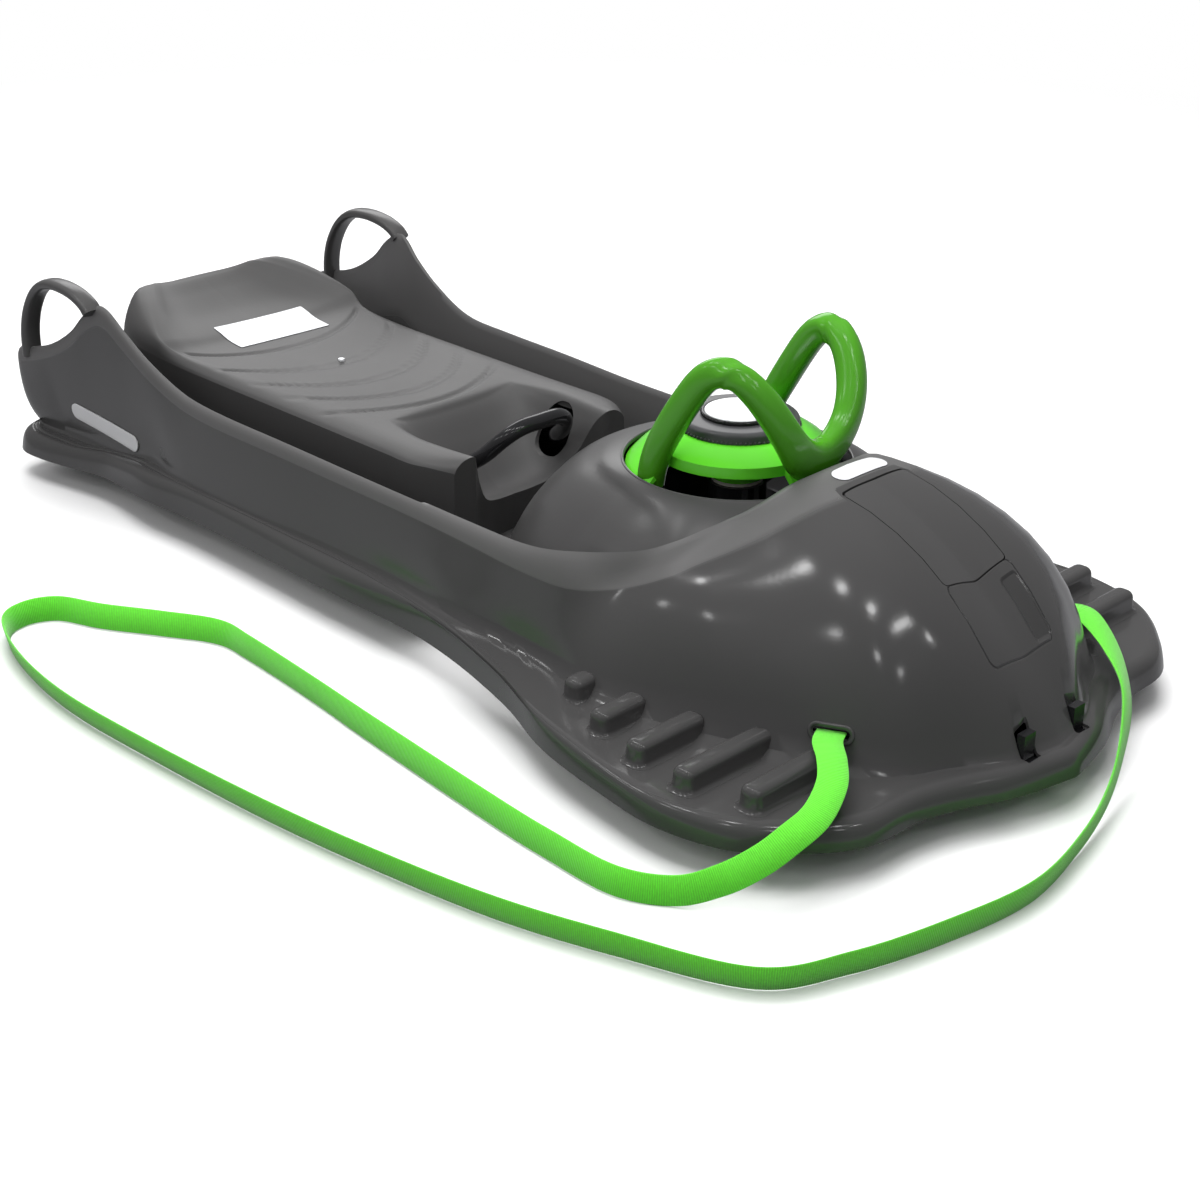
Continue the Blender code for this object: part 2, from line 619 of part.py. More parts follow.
hatch_low = (-HATCH_HALF_WIDTH, HATCH_FRONT, TRAY_FRONT_TOP - HULL_WALL)
hatch_high = (HATCH_HALF_WIDTH, HATCH_REAR, HOOD_TOP + CUT_OVERRUN)
cut(hull, cutter("hatch_cut", block(hatch_low, hatch_high)))
notch_foot = DECK_HEIGHT - DECK_DROP - HULL_WALL - CUT_OVERRUN
for hand in (-1, 1):
    notch_low = (hand * NOTCH_X - NOTCH_WIDTH / 2, NOTCH_Y - NOTCH_LENGTH / 2, notch_foot)
    notch_high = (hand * NOTCH_X + NOTCH_WIDTH / 2, NOTCH_Y + NOTCH_LENGTH / 2, NOTCH_TOP)
    cut(hull, cutter(f"notch_cut_{hand}", block(notch_low, notch_high)))
    slot_turn = Matrix.Rotation(-hand * SLOT_TURN, 4, "Z")
    slot_place = Matrix.Translation((hand * SLOT_X, SLOT_Y, SLOT_Z)) @ slot_turn
    slot = block((-STRAP_WIDTH, -SLOT_LENGTH / 2, -SLOT_HEIGHT / 2),
                 (STRAP_WIDTH, SLOT_LENGTH / 2, SLOT_HEIGHT / 2))
    bmesh.ops.transform(slot, matrix=slot_place, verts=slot.verts)
    cut(hull, cutter(f"strap_slot_cut_{hand}", slot))


# Nose frame: it closes the hood from below, carries the steering column and hooks into the nose

plate_low = PLATE_TOP - PLATE_THICKNESS
FRAME_SHARES = (
    (0.00, -0.075), (0.40, -0.085), (0.53, -0.20), (0.57, -0.42), (0.83, -0.525),
    (0.83, -0.59), (0.57, -0.68), (0.40, -0.80), (0.20, -0.90), (0.14, -0.958), (0.00, -0.958),
)
half_frame = [(x * HALF_WIDTH, y * HALF_LENGTH) for x, y in FRAME_SHARES]
whole_frame = half_frame + [(-x, y) for x, y in reversed(half_frame[1:-1])]
nose_frame = from_bmesh("nose_frame", prism(whole_frame, plate_low, PLATE_TOP), BLACK)
bush_radius = COLUMN_RADIUS + GAP + BUSH_WALL
tower_bore = bush_radius + GAP
tower = rod(tower_bore + TOWER_WALL, (0, AXIS_Y, plate_low + PLATE_THICKNESS / 2), (0, AXIS_Y, TOWER_TOP), 28)
join(nose_frame, cutter("tower_form", tower))
plate_middle = plate_low + PLATE_THICKNESS / 2
hook_half = NOTCH_WIDTH / 2 - GAP * 3
for hand in (-1, 1):
    hook = block((hand * NOTCH_X - hook_half, NOTCH_Y - NOTCH_LENGTH * 0.14, plate_middle),
                 (hand * NOTCH_X + hook_half, NOTCH_Y + NOTCH_LENGTH * 0.26, HOOK_TOP))
    join(nose_frame, cutter(f"hook_form_{hand}", hook))
bore = rod(tower_bore, (0, AXIS_Y, plate_low - CUT_OVERRUN), (0, AXIS_Y, TOWER_TOP + CUT_OVERRUN), 28)
cut(nose_frame, cutter("tower_bore_cut", bore))

# Bushes of the column

ski_boss_top = SKI_TOP + HULL_WALL / 2
column_bore = COLUMN_RADIUS + GAP
flange_low = ski_boss_top + GAP
lower_bush = turned("lower_bush", (
    (column_bore, PLATE_TOP + PLATE_THICKNESS), (bush_radius, PLATE_TOP + PLATE_THICKNESS),
    (bush_radius, plate_low - GAP), (BUSH_FLANGE, plate_low - GAP), (BUSH_FLANGE, flange_low),
    (column_bore, flange_low)), BRONZE, 20, True)
bush_top = TOWER_TOP + GAP + HULL_WALL
upper_bush = turned("upper_bush", (
    (column_bore, bush_top), (BUSH_FLANGE, bush_top), (BUSH_FLANGE, TOWER_TOP + GAP),
    (bush_radius, TOWER_TOP + GAP), (bush_radius, TOWER_TOP - 4 * BUSH_WALL),
    (column_bore, TOWER_TOP - 4 * BUSH_WALL)), BRONZE, 20, True)

# Dome: a bell over the column, open at the top for the wheel

def dome_height(share):
    for (s0, h0), (s1, h1) in zip(DOME_SHARES, DOME_SHARES[1:]):
        if share <= s1:
            return DOME_TOP * (h0 + (h1 - h0) * (share - s0) / (s1 - s0))
    return DOME_TOP * DOME_SHARES[-1][1]


def rim_reach(angle):
    """How far the hull's rim lies from the column in a direction, and how high it is there."""
    line = [row[3] for row in hull_rows()]
    bearings = [atan2(point.x, point.y - AXIS_Y) for point in line]
    found = (line[-1], line[-1], 0.0)
    for near, far, low, high in zip(line, line[1:], bearings, bearings[1:]):
        if low <= angle <= high and high > low:
            found = (near, far, (angle - low) / (high - low))
    point = found[0].lerp(found[1], found[2])
    return Vector((point.x, point.y - AXIS_Y)).length, point.z


def dome_front(angle, share):
    """A point of the dome's front, whose skin runs from its opening to just under the hull's rim."""
    first = DOME_SHARES[0][0]
    along = (share - first) / (1 - first)
    rim_radius, rim_height = rim_reach(angle)
    far_radius = max(rim_radius + DOME_TUCK, DOME_FRONT)
    near_radius = first * DOME_FOOT
    low = min(rim_height - DOME_TUCK_DROP, dome_height(far_radius / DOME_FOOT))
    radius = near_radius + (far_radius - near_radius) * min(1.0, along / DOME_EDGE_SHARE)
    height = DOME_TOP + (low - DOME_TOP) * min(1.0, along / DOME_EDGE_SHARE) ** DOME_FRONT_CURVE
    height -= DOME_EDGE_DROP * max(0.0, along - DOME_EDGE_SHARE) / (1 - DOME_EDGE_SHARE)
    return Vector((radius * sin(angle), AXIS_Y + radius * cos(angle), height))


def dome_sheet():
    shape = bmesh.new()
    turns = 20
    grid = []
    for i in range(turns + 1):
        angle = pi * i / turns
        side = max(abs(sin(angle)), DOME_SQUASH * 0.1)
        front = max(0.0, min(1.0, (-cos(angle) + 0.25) / 0.6))
        reach = min(DOME_FOOT, DOME_SIDE / (DOME_SQUASH * side))
        reach = min(reach, DOME_FOOT + (DOME_FRONT - DOME_FOOT) * front) / DOME_FOOT
        row = []
        first = DOME_SHARES[0][0]
        for share, _ in DOME_SHARES:
            scaled = first + (share - first) * (reach - first) / (1 - first)
            radius = scaled * DOME_FOOT
            squash = DOME_SQUASH + (1 - DOME_SQUASH) * max(0.0, 1 - (scaled - first) / 0.13)
            x = radius * squash * sin(angle)
            if i in (0, turns):
                x = 0.0
            own = Vector((x, AXIS_Y + radius * cos(angle), dome_height(scaled)))
            point = own.lerp(dome_front(angle, share), front)
            if i in (0, turns):
                point.x = 0.0
            row.append(shape.verts.new(point))
        grid.append(row)
    for near, far in zip(grid, grid[1:]):
        for j in range(len(near) - 1):
            shape.faces.new((near[j], near[j + 1], far[j + 1], far[j]))
    bmesh.ops.recalc_face_normals(shape, faces=shape.faces)
    shape.faces.ensure_lookup_table()
    if max(shape.faces, key=lambda face: face.calc_center_median().z).normal.z < 0:
        bmesh.ops.reverse_faces(shape, faces=shape.faces)
    mesh = bpy.data.meshes.new("steering_dome")
    shape.to_mesh(mesh)
    shape.free()
    sheet = place("steering_dome", mesh, ANTHRACITE)
    mirror = sheet.modifiers.new("mirror", "MIRROR")
    mirror.merge_threshold = 0.0001
    wall = sheet.modifiers.new("wall", "SOLIDIFY")
    wall.thickness = DOME_WALL
    wall.offset = -1.0
    return sheet


dome = dome_sheet()

# Steering: wheel, washer, cap, insert, column, pin and ski turn together about the column

steering_axis = bpy.data.objects.new("steering_axis", None)
parts.objects.link(steering_axis)
steering_axis.location = (0, AXIS_Y, 0)
steering_axis.rotation_euler = (0, 0, STEER_NOW)


def steered(piece):
    """Carry a piece, made about the column's own axis, on the steering."""
    piece.location = (0, 0, 0)
    piece.parent = steering_axis
    return piece


def carried_cutter(name, shape):
    return steered(cutter(name, shape))


wheel_under = WHEEL_TOP - WHEEL_WALL
wheel_profile = (
    (column_bore, WHEEL_TOP), (WHEEL_TOP_RADIUS, WHEEL_TOP), (0.78 * WHEEL_RADIUS, 0.945 * WHEEL_TOP),
    (0.93 * WHEEL_RADIUS, 0.885 * WHEEL_TOP), (WHEEL_RADIUS, WHEEL_EDGE_HEIGHT),
    (WHEEL_RADIUS, WHEEL_EDGE_HEIGHT - WHEEL_WALL),
    (WHEEL_RADIUS - WHEEL_WALL, WHEEL_EDGE_HEIGHT - WHEEL_WALL),
    (0.72 * WHEEL_RADIUS, 0.92 * WHEEL_TOP), (WHEEL_TOP_RADIUS - WHEEL_WALL, wheel_under),
    (WHEEL_BOSS_RADIUS, wheel_under), (WHEEL_BOSS_RADIUS, bush_top + GAP), (column_bore, bush_top + GAP))
wheel = steered(turned("steering_wheel", wheel_profile, GREEN, 36))
for hand in (-1, 1):
    xs = sorted((hand * 0.74 * WHEEL_RADIUS, hand * 1.2 * WHEEL_RADIUS))
    pocket = block((xs[0], -0.50 * WHEEL_RADIUS, WHEEL_EDGE_HEIGHT - 3 * WHEEL_WALL),
                   (xs[1], 0.22 * WHEEL_RADIUS, WHEEL_TOP))
    cut(wheel, carried_cutter(f"pocket_cut_{hand}", pocket))

# The loops run from the rear feet over two tops to the valley in front: x, y and z of the middle, the
# section's width and its height, in shares of the wheel's radius, the loops' height and their section.
LOOP_SHARES = (
    (0.80, 0.35, 0.615, 0.90, 0.85), (0.835, 0.29, 0.695, 0.95, 0.90), (0.85, 0.12, 0.80, 1.0, 0.95),
    (0.83, -0.08, 0.905, 1.0, 0.95), (0.812, -0.23, 0.972, 1.0, 0.95), (0.785, -0.40, 0.998, 1.0, 0.95),
    (0.725, -0.60, 0.975, 1.0, 0.95), (0.61, -0.77, 0.895, 1.0, 1.0), (0.44, -0.87, 0.795, 0.95, 1.1),
    (0.22, -0.85, 0.72, 0.90, 1.4), (0.0, -0.84, 0.695, 0.90, 1.6),
)


def loops(name, count):
    half = smooth(LOOP_SHARES, count)
    whole = [[-row[0]] + row[1:] for row in half] + [row for row in reversed(half[:-1])]
    path = [Vector((x * WHEEL_RADIUS, y * WHEEL_RADIUS, z * LOOP_HEIGHT)) for x, y, z, w, h in whole]
    sides = []
    for i, point in enumerate(path):
        along = path[min(i + 1, len(path) - 1)] - path[max(i - 1, 0)]
        level = Vector((0.0, -1.0, -0.25))
        sides.append(level - along * level.dot(along) / along.length_squared)
    outlines = [section(w * LOOP_SECTION, h * LOOP_SECTION, 2.8, 10) for x, y, z, w, h in whole]
    return carried_cutter(name, sweep(path, sides, outlines))


join(wheel, loops("loops_form", 17))

washer = steered(turned("hub_washer", (
    (column_bore, WHEEL_TOP + GAP), (column_bore, WASHER_TOP), (0.94 * WASHER_RADIUS, WASHER_TOP),
    (WASHER_RADIUS, WASHER_TOP - 0.25 * WHEEL_WALL), (WASHER_RADIUS, WHEEL_TOP + GAP)), GREY))
cap = steered(turned("hub_cap", (
    (0, WASHER_TOP + GAP), (0, CAP_TOP - CAP_RECESS), (INSERT_RADIUS + GAP, CAP_TOP - CAP_RECESS),
    (INSERT_RADIUS + GAP, CAP_TOP), (0.95 * CAP_RADIUS, CAP_TOP), (CAP_RADIUS, CAP_TOP - 0.25 * WHEEL_WALL),
    (CAP_RADIUS, WASHER_TOP + GAP)), BLACK, 32))
insert = steered(turned("cap_insert", (
    (0, CAP_TOP - CAP_RECESS + GAP), (0, INSERT_TOP), (0.97 * INSERT_RADIUS, INSERT_TOP),
    (INSERT_RADIUS, CAP_TOP), (INSERT_RADIUS, CAP_TOP - CAP_RECESS + GAP)), WHITE, 32))

column = rod(COLUMN_RADIUS, (0, 0, SKI_WALL + GAP), (0, 0, WASHER_TOP - GAP), 28)
column = steered(from_bmesh("steering_column", column, STEEL))
pin_height = SKI_WALL + 0.5 * (SKI_TOP - SKI_WALL)
pin_reach = SKI_BOSS_RADIUS + GAP
pin_hole = rod(PIN_RADIUS + GAP, (-pin_reach * 2, 0, pin_height), (pin_reach * 2, 0, pin_height), 16)
cut(column, carried_cutter("column_pin_cut", pin_hole))
pin_rod = rod(PIN_RADIUS, (-pin_reach, 0, pin_height), (pin_reach, 0, pin_height), 16)
steered(from_bmesh("column_pin", pin_rod, STEEL))

# Ski: a shallow tray, open at the top, with a boss for the column. Its outline's x and y are shares of
# the half width and of the reach to the rear (1) or to the front (-1).
SKI_SHARES = (
    (0.00, 1.00, 1), (0.55, 1.00, 1), (0.84, 0.97, 1), (0.95, 0.86, 1), (1.00, 0.66, 1), (0.985, 0.20, 1),
    (0.93, 0.30, -1), (0.84, 0.62, -1), (0.66, 0.86, -1), (0.36, 0.98, -1), (0.00, 1.00, -1),
)


def ski_outline(inset):
    half = []
    for x, y, end in SKI_SHARES:
        reach = SKI_REAR - inset if end == 1 else -SKI_FRONT - inset
        half.append((x * (SKI_HALF_WIDTH - inset), y * reach * end))
    return half + [(-x, y) for x, y in reversed(half[1:-1])]


ski = steered(from_bmesh("steering_ski", prism(ski_outline(0), 0, SKI_TOP), GREEN))
ski_hollow = prism(ski_outline(SKI_WALL), SKI_WALL, SKI_TOP + CUT_OVERRUN)
cut(ski, carried_cutter("ski_hollow_cut", ski_hollow))
ski_boss = rod(SKI_BOSS_RADIUS, (0, 0, SKI_WALL / 2), (0, 0, ski_boss_top), 28)
join(ski, carried_cutter("ski_boss_form", ski_boss))
rib_half = SKI_WALL / 2
cross_rib = block((-SKI_HALF_WIDTH + rib_half, -rib_half, rib_half),
                  (SKI_HALF_WIDTH - rib_half, rib_half, SKI_TOP - SKI_WALL))
join(ski, carried_cutter("ski_cross_rib_form", cross_rib))
long_rib = block((-rib_half, SKI_FRONT + rib_half, rib_half),
                 (rib_half, SKI_REAR - rib_half, SKI_TOP - SKI_WALL))
join(ski, carried_cutter("ski_long_rib_form", long_rib))
ski_bore = rod(column_bore, (0, 0, SKI_WALL), (0, 0, SKI_TOP + 2 * CUT_OVERRUN), 28)
cut(ski, carried_cutter("ski_bore_cut", ski_bore))
ski_pin_reach = pin_reach + GAP
pin_hole = rod(PIN_RADIUS + GAP, (-ski_pin_reach, 0, pin_height), (ski_pin_reach, 0, pin_height), 16)
cut(ski, carried_cutter("ski_pin_cut", pin_hole))

# Hatch: lid cut from the hood's own sheet, two hinge pins and a tray under it

lid = hull_sheet("hatch_lid", ANTHRACITE)
lid_low = (-HATCH_HALF_WIDTH + HATCH_SIDE_GAP, HATCH_FRONT + HATCH_GAP, TRAY_FRONT_TOP - HULL_WALL)
lid_high = (HATCH_HALF_WIDTH - HATCH_SIDE_GAP, HINGE_Y + HATCH_GAP, HOOD_TOP + CUT_OVERRUN)
combine(lid, cutter("lid_form", block(lid_low, lid_high)), "INTERSECT")
pin_start = HATCH_HALF_WIDTH - HINGE_PIN_REACH
pin_end = HATCH_HALF_WIDTH + HINGE_PIN_REACH
for hand in (-1, 1):
    bore_start = (hand * (pin_start - GAP), HINGE_Y, HINGE_Z)
    bore = rod(HINGE_PIN_RADIUS + GAP, bore_start, (hand * (pin_end + GAP), HINGE_Y, HINGE_Z), 12)
    tool = cutter(f"hinge_bore_cut_{hand}", bore)
    cut(lid, tool)
    cut(hull, tool)
    side = "left" if hand < 0 else "right"
    pin_ends = [(hand * x, HINGE_Y, HINGE_Z) for x in (pin_start, pin_end)]
    hinge_pin = rod(HINGE_PIN_RADIUS, pin_ends[0], pin_ends[1], 12)
    from_bmesh(f"hatch_pin_{side}", hinge_pin, STEEL)

tray_half = HATCH_HALF_WIDTH - 2 * HATCH_GAP
tray_low = (-tray_half, HATCH_FRONT + 2 * HATCH_GAP, PLATE_TOP + GAP)
tray_high = (tray_half, HATCH_REAR - 2 * HATCH_GAP, HOOD_TOP)
tray = from_bmesh("hatch_tray", block(tray_low, tray_high), BLACK)
slope = atan2(TRAY_REAR_TOP - TRAY_FRONT_TOP, HATCH_REAR - HATCH_FRONT)
lid_space = block((-WIDTH, -LENGTH, 0), (WIDTH, LENGTH, HOOD_TOP))
tilt = Matrix.Translation((0, HATCH_FRONT, TRAY_FRONT_TOP)) @ Matrix.Rotation(slope, 4, "X")
bmesh.ops.transform(lid_space, matrix=tilt, verts=lid_space.verts)
cut(tray, cutter("tray_slope_cut", lid_space))
hollow = block((tray_low[0] + TRAY_WALL, tray_low[1] + TRAY_WALL, tray_low[2] + TRAY_WALL),
               (tray_high[0] - TRAY_WALL, tray_high[1] - TRAY_WALL, HOOD_TOP + CUT_OVERRUN))
cut(tray, cutter("tray_hollow_cut", hollow))

# Seat: a moulded shell with a dish behind and an open recess in front

# Across the seat: the dish's points as shares of its half width and of its depth, then its shoulder's as
# shares of the way out and of the height, where 1 to 2 runs from the edge's height to the shoulder's.
DISH_X_SHARES = (0.0, 0.30, 0.56, 0.76, 0.90, 1.0)
DISH_DROP_SHARES = (1.0, 0.97, 0.84, 0.52, 0.16, 0.0)
SHOULDER_SHARES = ((0.45, 1.00), (0.80, 1.45), (0.95, 2.00), (1.00, 0.90), (1.02, 0.0))


def seat_point(row, j):
    """Points of one seat row from its middle to the floor."""
    y, bow, dish, edge, depth, outline, shoulder = row
    half = SEAT_HALF_WIDTH
    dish_x = dish * half
    out_x = outline * half
    edge_z = edge * SEAT_TOP
    shoulder_z = shoulder * SEAT_TOP
    foot_z = FLOOR_TOP + GAP
    if j < len(DISH_X_SHARES):
        x = DISH_X_SHARES[j] * dish_x
        z = edge_z - depth * SEAT_TOP * DISH_DROP_SHARES[j]
    else:
        x_share, z_share = SHOULDER_SHARES[j - len(DISH_X_SHARES)]
        x = dish_x + (out_x - dish_x) * x_share
        z = foot_z + (shoulder_z - foot_z) * z_share
        if z_share >= 1:
            z = edge_z + (shoulder_z - edge_z) * (z_share - 1)
    y_place = SEAT_FRONT + y * SEAT_LENGTH
    side_share = min(1.0, x / dish_x) if y < 0.5 else x / out_x
    bow_shape = 1.0 - side_share ** 2
    y_place += bow * bow_shape * SEAT_BOW_SHARE * SEAT_LENGTH
    return Vector((x, y_place, z))


def seat_sheet():
    shape = bmesh.new()
    rows = smooth(SEAT_SHARES, 19)
    columns = len(DISH_X_SHARES) + len(SHOULDER_SHARES)
    grid = [[shape.verts.new(seat_point(row, j)) for j in range(columns)] for row in rows]
    for end in (0, -1):
        foot = []
        for vertex in grid[end][:-1]:
            foot.append(shape.verts.new((vertex.co.x, vertex.co.y, FLOOR_TOP + GAP)))
        line = grid[end]
        for j in range(columns - 2):
            shape.faces.new((line[j], line[j + 1], foot[j + 1], foot[j]))
        shape.faces.new((line[-2], line[-1], foot[-1]))
    for near, far in zip(grid, grid[1:]):
        for j in range(columns - 1):
            shape.faces.new((near[j], near[j + 1], far[j + 1], far[j]))
    bmesh.ops.recalc_face_normals(shape, faces=shape.faces)
    shape.faces.ensure_lookup_table()
    if max(shape.faces, key=lambda face: face.calc_center_median().z).normal.z < 0:
        bmesh.ops.reverse_faces(shape, faces=shape.faces)
    mesh = bpy.data.meshes.new("seat_shell")
    shape.to_mesh(mesh)
    shape.free()
    sheet = place("seat_shell", mesh, ANTHRACITE)
    mirror = sheet.modifiers.new("mirror", "MIRROR")
    mirror.merge_threshold = 0.0001
    wall = sheet.modifiers.new("wall", "SOLIDIFY")
    wall.thickness = SEAT_WALL
    wall.offset = -1.0
    return sheet


seat = seat_sheet()
slot_x = 0.525 * SEAT_HALF_WIDTH
slot_reach = 0.147 * SEAT_HALF_WIDTH
for hand in (-1, 1):
    shape = bmesh.new()
    made = bmesh.ops.create_cone(shape, cap_ends=True, segments=16, radius1=1, radius2=1, depth=2)
    bmesh.ops.rotate(shape, verts=made["verts"], cent=(0, 0, 0), matrix=Matrix.Rotation(pi / 2, 3, "Y"))
    bmesh.ops.scale(shape, verts=made["verts"], vec=(slot_reach, SEAT_SLOT_WIDTH / 2, SEAT_SLOT_WIDTH / 2))
    straight = (SEAT_SLOT_HEIGHT - SEAT_SLOT_WIDTH) / 2
    for vertex in made["verts"]:
        vertex.co.z += straight if vertex.co.z > 0 else -straight
    bmesh.ops.translate(shape, verts=made["verts"], vec=(hand * slot_x, SEAT_SLOT_Y, SEAT_SLOT_Z))
    cut(seat, cutter(f"seat_slot_cut_{hand}", shape))
    for y in (SEAT_POST_FRONT, SEAT_POST_REAR):
        x = hand * SEAT_POST_X
        post = rod(SEAT_POST_RADIUS, (x, y, FLOOR_TOP + GAP), (x, y, SEAT_TOP - SEAT_WALL * 0.5), 16)
        join(seat, cutter(f"seat_post_form_{hand}_{y}", post))
        screw_end = FLOOR_TOP + 4 * SEAT_WALL
        hole = rod(SCREW_RADIUS + GAP, (x, y, 0), (x, y, screw_end + GAP), 10)
        hole_tool = cutter(f"seat_screw_cut_{hand}_{y}", hole)
        cut(seat, hole_tool)
        cut(hull, hole_tool)
        side = "left" if hand < 0 else "right"
        end = "front" if y == SEAT_POST_FRONT else "rear"
        floor_under = FLOOR_TOP - HULL_WALL - GAP
        screw_at(f"seat_screw_{end}_{side}", (x, y, floor_under), (0, 0, 1), screw_end - floor_under)
plug_y = SEAT_FRONT + 0.52 * SEAT_LENGTH
plug_low = (0, plug_y, SEAT_TOP - 4 * SEAT_WALL)
plug_hole = rod(PLUG_RADIUS + GAP, plug_low, (0, plug_y, SEAT_TOP + CUT_OVERRUN), 16)
cut(seat, cutter("seat_plug_cut", plug_hole))
plug = rod(PLUG_RADIUS, (0, plug_y, SEAT_TOP - 1.6 * SEAT_WALL), (0, plug_y, SEAT_TOP), 16)
from_bmesh("seat_plug", plug, WHITE)

# Brake: a U-shaped pull handle on a pivot rod under the seat, with a claw behind it

# Half of the handle's path from its top in front to its hub: x as a share of the hub's outside, y and z
# from the pivot as shares of the handle's reach.
BRAKE_SHARES = (
    (0.00, -1.000, 0.486), (0.22, -0.993, 0.480), (0.39, -0.953, 0.426), (0.50, -0.865, 0.324),
    (0.57, -0.770, 0.250), (0.67, -0.689, 0.203), (0.80, -0.622, 0.162), (0.91, -0.527, 0.122),
    (0.95, -0.372, 0.074), (0.95, -0.135, 0.027), (0.95, 0.0, 0.0),
)
brake_axis = bpy.data.objects.new("brake_axis", None)
parts.objects.link(brake_axis)
brake_axis.location = (0, BRAKE_AXIS_Y, BRAKE_AXIS_Z)


def braked(piece):
    """Carry a piece, made about the pivot rod's own axis, on the brake."""
    piece.parent = brake_axis
    return piece


def brake_handle():
    half = smooth(BRAKE_SHARES, 16)
    whole = [[-row[0]] + row[1:] for row in reversed(half[1:])] + half
    curve = bpy.data.curves.new("brake_handle_line", "CURVE")
    curve.dimensions = "3D"
    line = curve.splines.new("POLY")
    line.points.add(len(whole) - 1)
    for point, (x, y, z) in zip(line.points, whole):
        point.co = (x * BRAKE_HUB_OUTSIDE, y * BRAKE_REACH, z * BRAKE_REACH, 1.0)
    curve.bevel_depth = BRAKE_ROD / 2
    curve.bevel_resolution = 2
    curve.use_fill_caps = True
    bent = bpy.data.objects.new("brake_handle_line", curve)
    cutters.objects.link(bent)
    mesh = frozen(bent)
    bpy.data.objects.remove(bent)
    shape = bmesh.new()
    shape.from_mesh(mesh)
    bmesh.ops.remove_doubles(shape, verts=shape.verts, dist=0.00001)
    handle = braked(from_bmesh("brake_handle", shape, BLACK))
    for hand in (-1, 1):
        hub_start = (hand * (CLAW_HALF_WIDTH + GAP), 0, 0)
        hub = rod(BRAKE_HUB_RADIUS, hub_start, (hand * BRAKE_HUB_OUTSIDE, 0, 0), 20)
        join(handle, braked(cutter(f"brake_hub_form_{hand}", hub)))
    reach = BRAKE_HUB_OUTSIDE + CUT_OVERRUN
    cut(handle, braked(cutter("brake_hub_cut", rod(PIVOT_RADIUS + GAP, (-reach, 0, 0), (reach, 0, 0), 20))))
    return handle


brake_handle()
pivot_end = Vector((PIVOT_HALF_LENGTH, BRAKE_AXIS_Y, BRAKE_AXIS_Z))
pivot_start = Vector((-PIVOT_HALF_LENGTH, BRAKE_AXIS_Y, BRAKE_AXIS_Z))
pivot = rod(PIVOT_RADIUS, pivot_start, pivot_end, 20)
from_bmesh("brake_pivot_rod", pivot, STEEL)

# The claw's path behind its hub, in shares of its length
CLAW_SHARES = ((0.0, 0.0), (0.31, -0.075), (0.80, -0.120), (0.93, -0.165), (0.985, -0.235), (1.0, -0.295))
claw_path = [Vector((0, y * CLAW_LENGTH, z * CLAW_LENGTH)) for y, z in CLAW_SHARES]
flat = [(-CLAW_HALF_WIDTH, -CLAW_THICKNESS / 2), (CLAW_HALF_WIDTH, -CLAW_THICKNESS / 2),
        (CLAW_HALF_WIDTH, CLAW_THICKNESS / 2), (-CLAW_HALF_WIDTH, CLAW_THICKNESS / 2)]
claw_body = sweep(claw_path, [Vector((1, 0, 0))] * len(claw_path), [flat] * len(claw_path))
claw = braked(from_bmesh("brake_claw", claw_body, STEEL))
claw_hub = rod(BRAKE_HUB_RADIUS, (-CLAW_HALF_WIDTH, 0, 0), (CLAW_HALF_WIDTH, 0, 0), 20)
join(claw, braked(cutter("claw_hub_form", claw_hub)))
claw_reach = CLAW_HALF_WIDTH + CUT_OVERRUN
claw_bore = rod(PIVOT_RADIUS + GAP, (-claw_reach, 0, 0), (claw_reach, 0, 0), 20)
cut(claw, braked(cutter("claw_hub_cut", claw_bore)))
for i in range(3):
    tooth_x = (i - 1) * 0.62 * CLAW_HALF_WIDTH
    tooth_low = (tooth_x - 0.13 * CLAW_HALF_WIDTH, 0.9 * CLAW_LENGTH, -0.35 * CLAW_LENGTH)
    tooth_high = (tooth_x + 0.13 * CLAW_HALF_WIDTH, 1.1 * CLAW_LENGTH, -0.235 * CLAW_LENGTH)
    cut(claw, braked(cutter(f"claw_tooth_cut_{i}", block(tooth_low, tooth_high))))

bracket_low = FLOOR_TOP - HULL_WALL / 2
bracket_inside = PIVOT_HALF_LENGTH - BRACKET_THICKNESS + GAP
for hand in (-1, 1):
    xs = sorted((hand * bracket_inside, hand * PIVOT_HALF_LENGTH))
    ear = block((xs[0], BRAKE_AXIS_Y - 2 * BRAKE_HUB_RADIUS, bracket_low),
                (xs[1], BRAKE_AXIS_Y + 2 * BRAKE_HUB_RADIUS, BRAKE_AXIS_Z + BRAKE_HUB_RADIUS))
    join(hull, cutter(f"bracket_form_{hand}", ear))
overrun = Vector((CUT_OVERRUN, 0, 0))
pivot_hole = rod(PIVOT_RADIUS + GAP, pivot_start - overrun, pivot_end + overrun, 20)
cut(hull, cutter("pivot_hole_cut", pivot_hole))
claw_tip_y = BRAKE_AXIS_Y + CLAW_LENGTH
claw_slot_half = CLAW_HALF_WIDTH + CUT_OVERRUN
claw_slot = block((-claw_slot_half, claw_tip_y - 0.8 * CLAW_SLOT_LENGTH, 0),
                  (claw_slot_half, claw_tip_y + 0.2 * CLAW_SLOT_LENGTH, FLOOR_TOP + CUT_OVERRUN))
cut(hull, cutter("claw_slot_cut", claw_slot))


